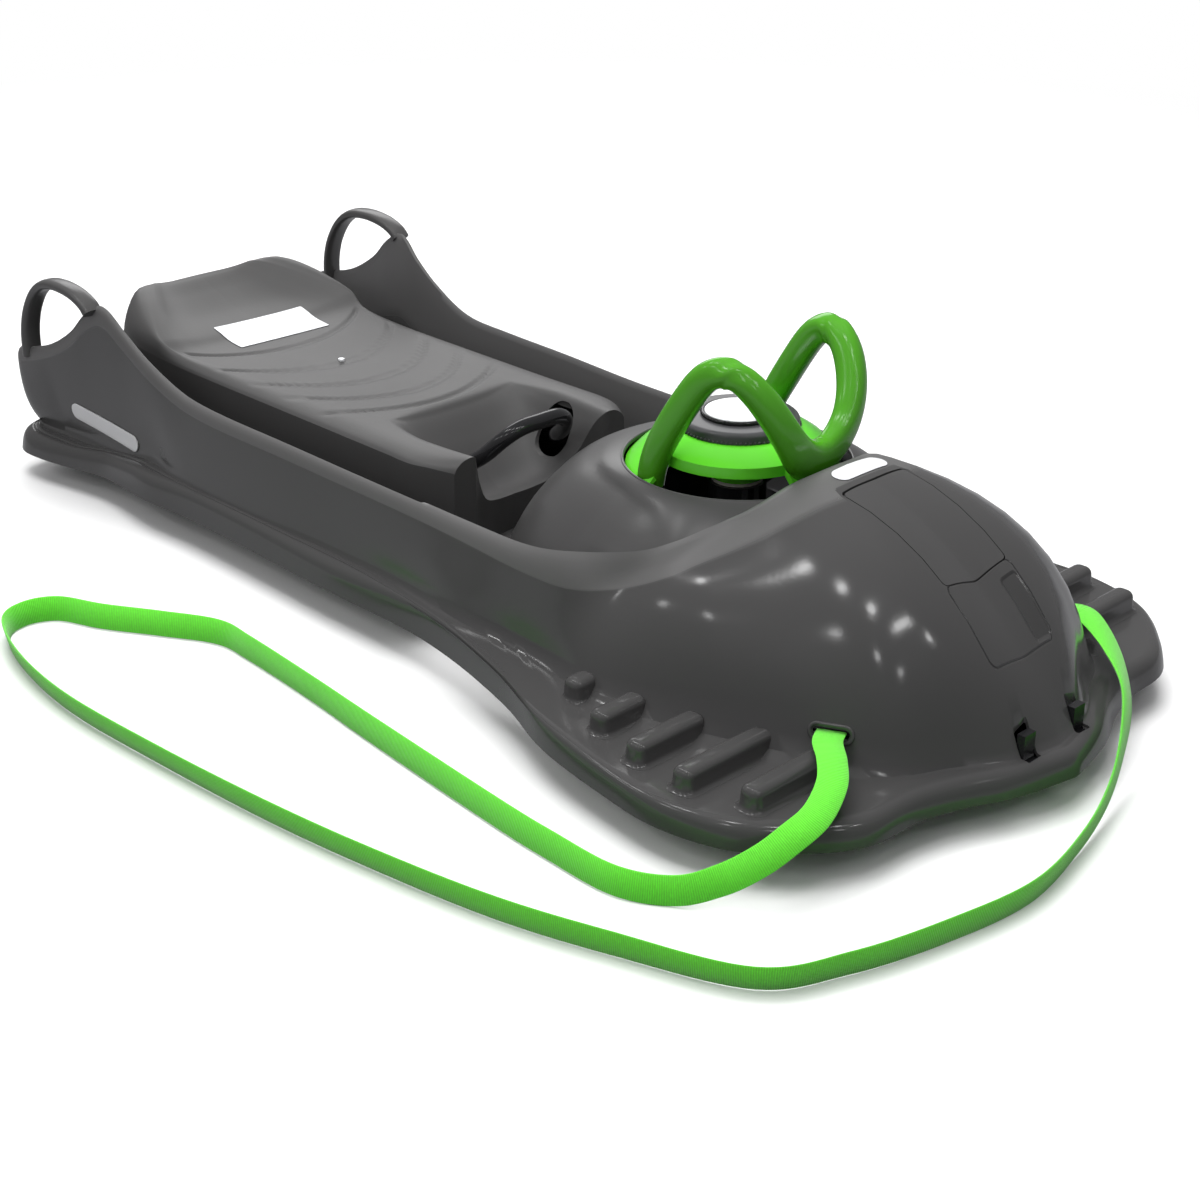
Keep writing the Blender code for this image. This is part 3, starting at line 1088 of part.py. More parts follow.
def brake_spring():
    """A torsion spring round the left hub, with one leg down to the floor."""
    start = -BRAKE_HUB_OUTSIDE + 0.22 * BRAKE_HUB_OUTSIDE
    width = 0.38 * BRAKE_HUB_OUTSIDE
    curve = bpy.data.curves.new("brake_spring_line", "CURVE")
    curve.dimensions = "3D"
    line = curve.splines.new("POLY")
    count = SPRING_TURNS * 9
    points = []
    for i in range(count + 1):
        angle = 2 * pi * i / 9 + pi / 2
        points.append((start + width * i / count, SPRING_RADIUS * cos(angle), SPRING_RADIUS * sin(angle)))
    x, y, z = points[-1]
    points.append((x, y + SPRING_RADIUS, z - 0.2 * SPRING_RADIUS))
    line.points.add(len(points) - 1)
    for point, place_at in zip(line.points, points):
        point.co = (*place_at, 1.0)
    curve.bevel_depth = SPRING_WIRE / 2
    curve.bevel_resolution = 1
    curve.use_fill_caps = True
    bent = bpy.data.objects.new("brake_spring_line", curve)
    cutters.objects.link(bent)
    shape = bmesh.new()
    shape.from_mesh(frozen(bent))
    bpy.data.objects.remove(bent)
    bmesh.ops.remove_doubles(shape, verts=shape.verts, dist=0.00001)
    bmesh.ops.translate(shape, verts=shape.verts, vec=(0, BRAKE_AXIS_Y, BRAKE_AXIS_Z))
    from_bmesh("brake_spring", shape, STEEL)


brake_spring()

# Rear handles: a bow over each fin's scoop, in shares of the half length and the hood's top

HANDLE_SHARES = ((0.735, 0.940), (0.750, 0.975), (0.782, 1.005), (0.828, 1.015), (0.872, 0.996),
                 (0.908, 0.931), (0.936, 0.824), (0.950, 0.711), (0.953, 0.590))
HANDLE_X_SHARE = 0.690
seat_of_handle = hull_sheet("handle_seat_cut", None, cutters)
seat_of_handle.modifiers["wall"].thickness = 1.4 * HULL_WALL
grow = seat_of_handle.modifiers.new("gap", "DISPLACE")
grow.mid_level = 0.0
grow.strength = GAP
for hand in (-1, 1):
    side = "left" if hand < 0 else "right"
    half = smooth(HANDLE_SHARES, 17)
    path = [Vector((hand * HANDLE_X_SHARE * HALF_WIDTH, y * HALF_LENGTH, z * HOOD_TOP)) for y, z in half]
    outline = section(HANDLE_WIDTH, HANDLE_THICKNESS, 3.0, 8)
    bow = sweep(path, [Vector((1, 0, 0))] * len(path), [outline] * len(path))
    cut(from_bmesh(f"rear_handle_{side}", bow, ANTHRACITE), seat_of_handle)

# Badges: a bare plate laid on each side wall

for hand in (-1, 1):
    side = "left" if hand < 0 else "right"
    shape = bmesh.new()
    columns = 10
    bend = BADGE_HEIGHT / 2
    grid = []
    for i in range(columns + 1):
        along = BADGE_LENGTH * (i / columns - 0.5)
        near_end = max(0.0, abs(along) - (BADGE_LENGTH / 2 - bend)) / bend
        half_height = bend * sqrt(max(0.08, 1 - near_end * near_end))
        column_of = []
        for share in (-1, -0.33, 0.33, 1):
            y = along * cos(BADGE_SLANT) - share * half_height * sin(BADGE_SLANT)
            z = along * sin(BADGE_SLANT) + share * half_height * cos(BADGE_SLANT)
            column_of.append(shape.verts.new((hand * WIDTH, BADGE_Y + y, BADGE_Z + z)))
        grid.append(column_of)
    for near, far in zip(grid, grid[1:]):
        for j in range(3):
            order = (near[j], near[j + 1], far[j + 1], far[j])
            shape.faces.new(order if hand < 0 else tuple(reversed(order)))
    mesh = bpy.data.meshes.new(f"badge_{side}")
    shape.to_mesh(mesh)
    shape.free()
    badge = place(f"badge_{side}", mesh, SILVER)
    wrap = badge.modifiers.new("lay_on_wall", "SHRINKWRAP")
    wrap.target = hull
    wrap.wrap_method = "PROJECT"
    wrap.use_project_x = True
    wrap.use_negative_direction = hand > 0
    wrap.use_positive_direction = hand < 0
    wrap.offset = 2 * GAP
    plate = badge.modifiers.new("plate", "SOLIDIFY")
    plate.thickness = BADGE_THICKNESS
    plate.offset = 1.0

# Tow strap with its anchors behind the slots

for hand in (-1, 1):
    side = "left" if hand < 0 else "right"
    out = Vector((hand * cos(SLOT_TURN), -sin(SLOT_TURN), 0))
    along = Vector((-out.y, out.x, 0))
    middle = Vector((hand * SLOT_X, SLOT_Y, SLOT_Z)) - out * ANCHOR_DEPTH
    reach = along * (SLOT_LENGTH / 2 + ANCHOR_RADIUS / 4)
    from_bmesh(f"strap_anchor_{side}", rod(ANCHOR_RADIUS, middle - reach, middle + reach, 12), BLACK)

strap_rows = smooth(STRAP_ROUTE, STRAP_STEPS)
strap_path = [Vector(row[:3]) for row in strap_rows]
strap_sides = []
for i, row in enumerate(strap_rows):
    along = strap_path[min(i + 1, len(strap_path) - 1)] - strap_path[max(i - 1, 0)]
    level = Vector((along.y, -along.x, 0)).normalized()
    lean = radians(row[3])
    strap_sides.append(level * cos(lean) + Vector((0, 0, 1)) * sin(lean))
ribbon = [(-STRAP_WIDTH / 2, -STRAP_THICKNESS / 2), (STRAP_WIDTH / 2, -STRAP_THICKNESS / 2),
          (STRAP_WIDTH / 2, STRAP_THICKNESS / 2), (-STRAP_WIDTH / 2, STRAP_THICKNESS / 2)]
from_bmesh("tow_strap", sweep(strap_path, strap_sides, [ribbon] * len(strap_path)), WEBBING)

# Screws of the frame and of the dome

frame_screw_y = RIB_FIRST - RIB_PITCH
frame_screw_x = (RIB_INSIDE_SHARES[1] + RIB_OUTSIDE_SHARES[1]) / 2 * HALF_WIDTH - RIB_WIDTH / 2
dome_screw_x = 0.24 * DOME_FOOT
dome_screw_y = AXIS_Y + 0.925 * DOME_FOOT
for hand in (-1, 1):
    side = "left" if hand < 0 else "right"
    x = hand * frame_screw_x
    tip = RIB_TOP - RIB_ROUND
    hole = rod(SCREW_RADIUS + GAP, (x, frame_screw_y, 0), (x, frame_screw_y, tip + GAP), 10)
    tool = cutter(f"frame_screw_cut_{hand}", hole)
    cut(nose_frame, tool)
    cut(hull, tool)
    screw_at(f"frame_screw_{side}", (x, frame_screw_y, plate_low - GAP), (0, 0, 1), tip - plate_low)
    x = hand * dome_screw_x
    top = DOME_TOP * DOME_SHARES[-2][1] + GAP
    low = FLOOR_TOP - 2 * HULL_WALL
    hole_low = (x, dome_screw_y, low - CUT_OVERRUN)
    hole = rod(SCREW_RADIUS + GAP, hole_low, (x, dome_screw_y, top + CUT_OVERRUN), 10)
    tool = cutter(f"dome_screw_cut_{hand}", hole)
    cut(dome, tool)
    cut(hull, tool)
    screw_at(f"dome_screw_{side}", (x, dome_screw_y, top), (0, 0, -1), top - low)
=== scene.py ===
import json
from math import atan2, cos, hypot, pi, radians, sin, sqrt

import bmesh
import bpy
from mathutils import Matrix, Vector
from mathutils.bvhtree import BVHTree

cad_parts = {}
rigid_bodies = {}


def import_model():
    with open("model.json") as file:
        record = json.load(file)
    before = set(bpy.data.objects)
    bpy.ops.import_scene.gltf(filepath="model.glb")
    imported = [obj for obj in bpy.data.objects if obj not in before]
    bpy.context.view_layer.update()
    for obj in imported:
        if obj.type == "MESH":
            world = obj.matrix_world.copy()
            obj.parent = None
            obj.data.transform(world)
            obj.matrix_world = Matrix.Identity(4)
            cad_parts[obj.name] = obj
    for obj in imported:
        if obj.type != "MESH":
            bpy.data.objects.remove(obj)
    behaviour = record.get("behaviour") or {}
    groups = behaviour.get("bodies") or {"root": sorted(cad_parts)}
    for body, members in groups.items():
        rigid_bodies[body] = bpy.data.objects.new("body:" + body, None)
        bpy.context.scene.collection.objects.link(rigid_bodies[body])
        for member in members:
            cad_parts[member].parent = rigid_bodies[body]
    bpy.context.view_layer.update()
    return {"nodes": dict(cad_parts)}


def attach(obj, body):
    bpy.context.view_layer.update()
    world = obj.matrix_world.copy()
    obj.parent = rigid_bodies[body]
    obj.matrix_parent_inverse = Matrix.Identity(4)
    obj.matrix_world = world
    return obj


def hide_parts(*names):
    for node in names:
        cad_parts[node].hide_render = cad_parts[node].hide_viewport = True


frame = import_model()

# Standpoint: a camera above the nose on the sled's near side, as the picture was taken, with the whole
# of the strap in view.
CAMERA_AT = (-1.1587, -1.2661, 0.7896)
CAMERA_AZIMUTH = -44.1783
CAMERA_ELEVATION = 25.4577
CAMERA_LENS = 62.16
SENSOR_WIDTH = 36.0

camera_data = bpy.data.cameras.new("camera")
camera_data.lens = CAMERA_LENS
camera_data.sensor_width = SENSOR_WIDTH
camera = bpy.data.objects.new("camera", camera_data)
camera.location = CAMERA_AT
camera.rotation_euler = (radians(90 - CAMERA_ELEVATION), 0.0, radians(CAMERA_AZIMUTH))
bpy.context.scene.collection.objects.link(camera)
bpy.context.scene.camera = camera

# Tow strap: one length of bright green ribbed webbing, 22 mm wide, sewn round a rod behind each slot in
# the hood. It stands on its edge on the ground and makes one long loose loop.
STRAP_WIDTH = 0.022
STRAP_THICKNESS = 0.0018
SELVEDGE_SHARE = 0.93
STRAP_STEPS = 420
WEAVE_PITCH = 0.0016
WEBBING_GREEN = (0.135, 0.800, 0.028)
STRAP_ROUTE = (
    (-0.1402, -0.4546, 0.0710, 0), (-0.1540, -0.4625, 0.0710, 0), (-0.1700, -0.4800, 0.0700, 5),
    (-0.1900, -0.4970, 0.0660, 10), (-0.2180, -0.5080, 0.0580, 25), (-0.2420, -0.5060, 0.0490, 42),
    (-0.2610, -0.4960, 0.0350, 58), (-0.2790, -0.4770, 0.0190, 68), (-0.3020, -0.4560, 0.0115, 75),
    (-0.3220, -0.4180, 0.0115, 75), (-0.3230, -0.3550, 0.0115, 75), (-0.3200, -0.2900, 0.0115, 75),
    (-0.3080, -0.1370, 0.0115, 78), (-0.3000, -0.0500, 0.0115, 82),
    (-0.2940, 0.0420, 0.0115, 80), (-0.2950, 0.0860, 0.0115, 75), (-0.3200, 0.1330, 0.0115, 70),
    (-0.3490, 0.1810, 0.0115, 70), (-0.3680, 0.2210, 0.0115, 75), (-0.3960, 0.2320, 0.0115, 80),
    (-0.4220, 0.2150, 0.0115, 80), (-0.4430, 0.1500, 0.0115, 75), (-0.4530, 0.0610, 0.0115, 75),
    (-0.4480, -0.0560, 0.0115, 75), (-0.4380, -0.1750, 0.0115, 78), (-0.4240, -0.2760, 0.0115, 78),
    (-0.4030, -0.3830, 0.0115, 80), (-0.3750, -0.4700, 0.0115, 80), (-0.3370, -0.5600, 0.0115, 75),
    (-0.2810, -0.5920, 0.0115, 78), (-0.2100, -0.6130, 0.0115, 82), (-0.1300, -0.6250, 0.0115, 80),
    (-0.0550, -0.6130, 0.0125, 80), (0.0040, -0.5960, 0.0190, 88), (0.0500, -0.5760, 0.0340, 98),
    (0.0880, -0.5530, 0.0520, 115), (0.1180, -0.5210, 0.0640, 145), (0.1430, -0.4870, 0.0700, 170),
    (0.1540, -0.4650, 0.0710, 180), (0.1402, -0.4546, 0.0710, 180),
)


def smooth(rows, count):
    """Rows of numbers on a smooth curve through the given rows."""
    last = len(rows) - 1
    made = []
    for i in range(count):
        t = last * i / (count - 1)
        k = min(int(t), last - 1)
        f = t - k
        quad = [rows[max(k - 1, 0)], rows[k], rows[k + 1], rows[min(k + 2, last)]]
        row = []
        for p0, p1, p2, p3 in zip(*quad):
            curve = 2 * p1 + (p2 - p0) * f + (2 * p0 - 5 * p1 + 4 * p2 - p3) * f * f
            row.append((curve + (3 * p1 - p0 - 3 * p2 + p3) * f * f * f) / 2)
        made.append(row)
    return made


class Wire:
    """A socket of a material's tree. Sums written on it add their Math nodes."""

    def __init__(self, finish, socket):
        self.finish = finish
        self.socket = socket

    def math(self, operation, *values):
        return self.finish.node("Math", {"operation": operation}, {i: v for i, v in enumerate(values)})

    def __add__(self, other):
        return self.math("ADD", self, other)

    def __sub__(self, other):
        return self.math("SUBTRACT", self, other)

    def __rsub__(self, other):
        return self.math("SUBTRACT", other, self)

    def __mul__(self, other):
        return self.math("MULTIPLY", self, other)

    def out(self, name):
        return Wire(self.finish, self.socket.node.outputs[name])

    def clamped(self):
        return self.math("MINIMUM", self.math("MAXIMUM", self, 0.0), 1.0)

    def sine(self):
        return self.math("SINE", self)


class Finish:
    """A material on one Principled shader, with a method that adds any other node."""

    def __init__(self, name, color, roughness, metallic=0.0):
        self.material = bpy.data.materials.new(name)
        self.material.use_nodes = True
        self.tree = self.material.node_tree
        self.shader = self.tree.nodes["Principled BSDF"]
        self.set("Base Color", (*color, 1.0))
        self.set("Roughness", roughness)
        self.set("Metallic", metallic)

    def put(self, socket, value):
        if isinstance(value, Wire):
            self.tree.links.new(value.socket, socket)
        else:
            socket.default_value = value

    def node(self, kind, settings, sockets, out=0):
        made = self.tree.nodes.new("ShaderNode" + kind)
        for name, value in settings.items():
            setattr(made, name, value)
        for name, value in sockets.items():
            self.put(made.inputs[name], value)
        return Wire(self, made.outputs[out])

    def set(self, name, value):
        self.put(self.shader.inputs[name], value)

    def place(self, output="Object"):
        return self.node("TexCoord", {}, {}, output)

    def noise(self, scale, detail=3.0):
        return self.node("TexNoise", {}, {"Vector": self.place(), "Scale": scale, "Detail": detail}, "Fac")

    def mixed(self, factor, color_a, color_b):
        sockets = {0: factor, 6: color_a, 7: color_b}
        return self.node("Mix", {"data_type": "RGBA"}, sockets, 2)

    def bump(self, height, distance, strength=1.0):
        sockets = {"Height": height, "Distance": distance, "Strength": strength}
        self.set("Normal", self.node("Bump", {}, sockets))


def shade(color, share):
    """A colour made lighter or darker, as an RGBA value."""
    return (*[min(1.0, value * share) for value in color], 1.0)


webbing = Finish("green_webbing_finish", WEBBING_GREEN, 0.72)
strap_map = webbing.node("SeparateXYZ", {}, {"Vector": webbing.place("UV")}, "X")
strap_across = strap_map.out("Y")
weft = (strap_map * (2 * pi / WEAVE_PITCH)).sine() * 0.5 + 0.5
selvedge = webbing.node("Math", {"operation": "GREATER_THAN"}, {0: strap_across, 1: SELVEDGE_SHARE})
tone = weft * 0.55 + webbing.noise(420.0) * 0.45
webbing.set("Base Color", webbing.mixed(tone, shade(WEBBING_GREEN, 0.66), shade(WEBBING_GREEN, 1.12)))
webbing.bump(weft * (1 - selvedge) + webbing.noise(900.0) * 0.3, 0.0003, 0.8)
webbing.set("Sheen Weight", 0.35)
webbing.set("Sheen Roughness", 0.5)


def made_from(name, shape):
    """A piece of the object from a shape, which is used up."""
    mesh = bpy.data.meshes.new(name)
    shape.to_mesh(mesh)
    shape.free()
    piece = bpy.data.objects.new(name, mesh)
    bpy.context.scene.collection.objects.link(piece)
    return piece


def dress(piece, finish, sharp=38):
    """Give a piece its finish, and shade it smooth but for its sharp edges."""
    piece.data.materials.clear()
    piece.data.materials.append(finish.material)
    for face in piece.data.polygons:
        face.material_index = 0
    piece.data.shade_smooth()
    piece.data.set_sharp_from_angle(angle=radians(sharp))
    return piece


def hand_over(piece, body, slot, *nodes):
    """Let a piece ride on its body and hide the CAD nodes that it stands for. The slot is not used."""
    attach(piece, body)
    if nodes:
        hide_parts(*nodes)
    return piece


def bar_shape(path, sides, sections):
    """A bar along a path: a section's first value runs along the side vector there. It carries a UV map of
    the run along it and the place across it."""
    shape = bmesh.new()
    rings = []
    run = [0.0]
    for i, point in enumerate(path):
        before = path[max(i - 1, 0)]
        after = path[min(i + 1, len(path) - 1)]
        along = (after - before).normalized()
        side = (sides[i] - along * sides[i].dot(along)).normalized()
        up = along.cross(side)
        rings.append([shape.verts.new(point + side * u + up * v) for u, v in sections[i]])
        if i:
            run.append(run[-1] + (point - path[i - 1]).length)
    layer = shape.loops.layers.uv.new("run")
    widest = max(abs(u) for u, v in sections[0])
    for i in range(len(rings) - 1):
        for j in range(len(rings[i])):
            k = (j + 1) % len(rings[i])
            places = ((i, j), (i, k), (i + 1, k), (i + 1, j))
            face = shape.faces.new([rings[a][b] for a, b in places])
            for loop, (a, b) in zip(face.loops, places):
                loop[layer].uv = (run[a], abs(sections[a][b][0]) / widest)
    shape.faces.new(rings[0])
    shape.faces.new(rings[-1])
    bmesh.ops.recalc_face_normals(shape, faces=shape.faces)
    return shape


strap_rows = smooth(STRAP_ROUTE, STRAP_STEPS)
strap_path = [Vector(row[:3]) for row in strap_rows]
strap_sides = []
for i, row in enumerate(strap_rows):
    along = strap_path[min(i + 1, STRAP_STEPS - 1)] - strap_path[max(i - 1, 0)]
    level = Vector((along.y, -along.x, 0)).normalized()
    strap_sides.append(level * cos(radians(row[3])) + Vector((0, 0, 1)) * sin(radians(row[3])))
half_width = STRAP_WIDTH / 2
half_thick = STRAP_THICKNESS / 2
full = SELVEDGE_SHARE * half_width
ribbon = [(-half_width, 0), (-full, -half_thick), (0, -half_thick), (full, -half_thick),
          (half_width, 0), (full, half_thick), (0, half_thick), (-full, half_thick)]
strap = dress(made_from("strap", bar_shape(strap_path, strap_sides, [ribbon] * STRAP_STEPS)), webbing, 80)
hand_over(strap, "sled", "green_webbing", "tow_strap")

# Hull: one thin-walled moulding in glossy anthracite plastic, with a deep cockpit, a hood over the nose
# and a skirt all round. It is one lofted sheet, mirrored, rounded and given its wall.
LENGTH = 1.150
WIDTH = 0.544
HOOD_TOP = 0.204
HALF_LENGTH = LENGTH / 2
HALF_WIDTH = WIDTH / 2
HULL_WALL = 0.0025
LIP_HEIGHT = 0.032
DECK_HEIGHT = 0.058
DECK_DROP = 0.012
LIP_DROP = 0.006
FLOOR_TOP = 0.034
SKIRT_LEAN = 0.003
SKIRT_ROUND = 0.009
SKIRT_FLAT_FROM = 0.012
SKIRT_GROOVE_DEPTH = 0.0012
SKIRT_GROOVE_WIDTH = 0.0022
SKIRT_GROOVE_INSET = 0.0040
SKIRT_GROOVE_EDGE = 0.0007
INNER_DRAFT = 0.012
RIM_LIP = 0.012
FLOOR_ROUND = 0.012
TUB_HALF_WIDTH = 0.170
TUB_REAR = 0.560
TUB_MIDDLE = 0.270
TUB_LAST_ROW = 15
SPINE_REAR = 0.85 * TUB_REAR
ROWS_PER_STEP = 5
# Each row has the skirt across and along, the crease across and along, and the band and the rim across,
# along and up, as shares of half the width, half the length and the hood's height.
HULL_SHARES = (
    (0, 0.986, 0, 0.984, 0, 0.987, 0.485, 0, 0.972, 0.515),
    (0.368, 0.986, 0.368, 0.984, 0.368, 0.987, 0.495, 0.368, 0.972, 0.525),
    (0.607, 0.984, 0.57, 0.982, 0.599, 0.995, 0.549, 0.599, 0.980, 0.578),
    (0.735, 0.977, 0.661, 0.972, 0.698, 0.998, 0.583, 0.677, 0.984, 0.613),
    (0.787, 0.939, 0.677, 0.928, 0.713, 0.957, 0.608, 0.688, 0.953, 0.637),
    (0.783, 0.883, 0.669, 0.87, 0.71, 0.887, 0.667, 0.684, 0.885, 0.691),
    (0.767, 0.84, 0.661, 0.809, 0.702, 0.817, 0.775, 0.677, 0.816, 0.799),
    (0.746, 0.783, 0.658, 0.765, 0.696, 0.771, 0.887, 0.669, 0.77, 0.912),
    (0.732, 0.723, 0.655, 0.713, 0.688, 0.719, 0.951, 0.661, 0.719, 0.98),
    (0.743, 0.657, 0.655, 0.661, 0.673, 0.67, 0.853, 0.647, 0.67, 0.882),
    (0.756, 0.583, 0.661, 0.6, 0.665, 0.609, 0.745, 0.638, 0.609, 0.777),
    (0.743, 0.496, 0.688, 0.522, 0.655, 0.522, 0.652, 0.626, 0.522, 0.681),
    (0.741, 0.4, 0.694, 0.417, 0.657, 0.417, 0.63, 0.628, 0.417, 0.659),
    (0.746, 0.261, 0.692, 0.261, 0.649, 0.261, 0.623, 0.622, 0.261, 0.652),
    (0.754, 0.104, 0.684, 0.104, 0.64, 0.104, 0.61, 0.612, 0.104, 0.64),
    (0.757, -0.13, 0.693, -0.052, 0.638, -0.052, 0.605, 0.61, -0.052, 0.637),
    (0.846, -0.348, 0.715, -0.174, 0.642, -0.174, 0.6, 0.61, -0.174, 0.637),
    (0.941, -0.478, 0.694, -0.272, 0.642, -0.287, 0.583, 0.608, -0.278, 0.642),
    (0.985, -0.617, 0.694, -0.367, 0.625, -0.377, 0.586, 0.591, -0.357, 0.676),
    (0.993, -0.717, 0.719, -0.458, 0.558, -0.438, 0.618, 0.519, -0.448, 0.728),
    (0.93, -0.814, 0.69, -0.571, 0.511, -0.493, 0.694, 0.455, -0.49, 0.779),
    (0.79, -0.883, 0.629, -0.675, 0.422, -0.521, 0.765, 0.389, -0.512, 0.819),
    (0.662, -0.918, 0.548, -0.787, 0.338, -0.544, 0.838, 0.323, -0.529, 0.853),
    (0.496, -0.923, 0.447, -0.866, 0.257, -0.569, 0.917, 0.245, -0.542, 0.882),
    (0.357, -0.941, 0.313, -0.903, 0.173, -0.591, 0.975, 0.163, -0.55, 0.917),
    (0.202, -0.973, 0.165, -0.946, 0.088, -0.605, 0.995, 0.081, -0.559, 0.941),
    (0, -0.995, 0, -0.964, 0, -0.609, 1.0, 0, -0.563, 0.951),
)
WALL_SIDE_SHARES = (0.20, 0.33, 0.75, 0.70)
WALL_NOSE_SHARES = (0.08, 0.40, 0.66, 1.00)
WALL_CORNER_SHARES = (0.02, 0.55, 0.42, 1.00)
WALL_REAR_SHARES = (0.95, 0.15, 1.05, 0.60)
WALL_STEPS = (0.82, 0.62, 0.42, 0.2)
# Where each of these forms begins along the hull, and over how far it comes, as shares of half its length.
LOW_FRONT = (0.12, 0.28)
LOW_REAR = (0.63, 0.17)
NOSE_WALL = (0.35, 0.3)
TAIL_WALL = (0.88, 0.06)
# The same in metres for the skirt's groove: along the hull, and by the skirt's width.
SKIRT_GROOVE_FORM = (-0.30, 0.06)
SKIRT_GROOVE_ROOM = (0.003, 0.004)
# Points of a row that are satin: from just under the rim out to the band.
SATIN_PLACES = (5, 6, 7, 8)

PLASTIC_ANTHRACITE = (0.055, 0.054, 0.054)


def moulded(name, color, roughness, grain=0.00006, scale=260.0, flow=0.08):
    """Moulded plastic: faint flow marks in its gloss, and a fine grain that softens its reflections."""
    made = Finish(name, color, roughness)
    marks = made.noise(9.0, 4.0)
    made.set("Roughness", marks * flow + (roughness - flow / 2))
    made.set("Base Color", made.mixed(made.noise(3.0, 2.0), shade(color, 0.93), shade(color, 1.07)))
    made.bump(made.noise(scale, 2.0) * 0.6 + made.noise(34.0, 2.0) * 0.4, grain)
    return made


hull_finish = moulded("anthracite_gloss", PLASTIC_ANTHRACITE, 0.20, 0.00005)


def begun(value, form):
    """How far a form has come at a value, between nothing and one, from its start and its distance."""
    start, distance = form
    return max(0.0, min(1.0, (value - start) / distance))


def blend(first, second, share):
    """Numbers part of the way from one list to another."""
    return [a + (b - a) * share for a, b in zip(first, second)]


def hull_rows():
    """The half outline's rows in metres: skirt, crease, band and rim points."""
    rows = []
    for r in smooth(HULL_SHARES, (len(HULL_SHARES) - 1) * ROWS_PER_STEP + 1):
        end = max(begun(-r[3], LOW_FRONT), begun(r[3], LOW_REAR))
        points = [Vector((r[0] * HALF_WIDTH, r[1] * HALF_LENGTH, LIP_HEIGHT - LIP_DROP * end)),
                  Vector((r[2] * HALF_WIDTH, r[3] * HALF_LENGTH, DECK_HEIGHT - DECK_DROP * end))]
        points += [Vector((x * HALF_WIDTH, y * HALF_LENGTH, z * HOOD_TOP)) for x, y, z in (r[4:7], r[7:])]
        rows.append(points)
    for point in rows[0] + rows[-1]:
        point.x = 0.0
    return rows


def tub_inset(point, distance):
    """A point of the rim moved in towards the middle of the tub."""
    y = point.y
    if y > TUB_MIDDLE:
        y = TUB_MIDDLE + (y - TUB_MIDDLE) * (1 - distance / (TUB_REAR - TUB_MIDDLE))
    return Vector((point.x * (1 - distance / TUB_HALF_WIDTH), y, FLOOR_TOP))


def hull_profile(rows, i):
    """One row of the hull's outer sheet, from the spine of the floor over the rim to the skirt's lip."""
    skirt, crease, band, rim = rows[i]
    at_end = i in (0, len(rows) - 1)
    up = Vector((0.0, 0.0, 1.0))
    tub_last = round(TUB_LAST_ROW / (len(HULL_SHARES) - 1) * (len(rows) - 1))
    points = [None] * 6
    if i <= tub_last:
        along = (rows[i + 1][3] - rows[max(i - 1, 0)][3]).to_2d().normalized()
        inward = Vector((0.0, -1.0, 0.0)) if at_end else Vector((along.y, -along.x, 0.0))
        spine_y = SPINE_REAR + (rows[tub_last][3].y - SPINE_REAR) * i / tub_last
        spine = Vector((0.0, spine_y, FLOOR_TOP))
        edge = tub_inset(rim, INNER_DRAFT + FLOOR_ROUND)
        points = [spine, spine.lerp(edge, 0.5), edge,
                  tub_inset(rim, INNER_DRAFT + FLOOR_ROUND * 0.3) + up * FLOOR_ROUND * 0.3,
                  tub_inset(rim, INNER_DRAFT) + up * FLOOR_ROUND,
                  rim + inward * 0.15 * INNER_DRAFT - up * RIM_LIP]
    points += [rim, rim.lerp(band, 0.45) + up * 0.25 * (rim - band).to_2d().length, band]
    nose = begun(-crease.y / HALF_LENGTH, NOSE_WALL)
    tail = begun(crease.y / HALF_LENGTH, TAIL_WALL)
    front = blend(WALL_NOSE_SHARES, WALL_CORNER_SHARES, min(1.0, crease.x / (0.3 * HALF_WIDTH)))
    f1, g1, f2, g2 = blend(blend(WALL_SIDE_SHARES, front, nose), WALL_REAR_SHARES, tail)
    wall = band - crease
    low = crease + Vector((wall.x * f1, wall.y * f1, wall.z * g1))
    high = crease + Vector((wall.x * f2, wall.y * f2, wall.z * g2))
    for t in WALL_STEPS:
        s = 1 - t
        points.append(crease * s ** 3 + low * 3 * s * s * t + high * 3 * s * t * t + band * t ** 3)
    points.append(crease)
    deck = (skirt - crease).to_2d()
    width = deck.length
    out = deck.to_3d() / width
    lean = min(SKIRT_LEAN, width * 0.3)
    inset = min(SKIRT_ROUND, width * 0.45)
    top = skirt - out * lean
    top.z = crease.z
    steep = max(0.0, 1 - width / SKIRT_FLAT_FROM) * (crease.z - skirt.z)
    points.append(crease.lerp(top - out * inset, 0.4) - up * 0.2 * steep)
    flat = width - inset - lean
    start = inset + min(0.28 * flat, SKIRT_GROOVE_INSET)
    wide = min(0.16 * flat, SKIRT_GROOVE_WIDTH)
    deep = SKIRT_GROOVE_DEPTH * min(begun(crease.y, SKIRT_GROOVE_FORM), begun(flat, SKIRT_GROOVE_ROOM))
    for reach, drop, share in ((start + wide + SKIRT_GROOVE_EDGE, 0, 0.35), (start + wide, deep, 0.36),
                               (start, deep, 0.38), (start - SKIRT_GROOVE_EDGE, 0, 0.39), (inset, 0, 0.40),
                               (inset * 0.3, inset * 0.25, 0.52), (-lean * 0.4, inset, 0.65)):
        points.append(top - out * reach - up * (drop + share * steep))
    points.append(skirt.copy())
    for point in points if at_end else ():
        if point is not None:
            point.x = 0.0
    return points


def settle(piece):
    """Fix a piece's modifiers into its mesh."""
    bpy.context.view_layer.update()
    seen = piece.evaluated_get(bpy.context.evaluated_depsgraph_get())
    mesh = bpy.data.meshes.new_from_object(seen)
    piece.modifiers.clear()
    piece.data = mesh
    return piece


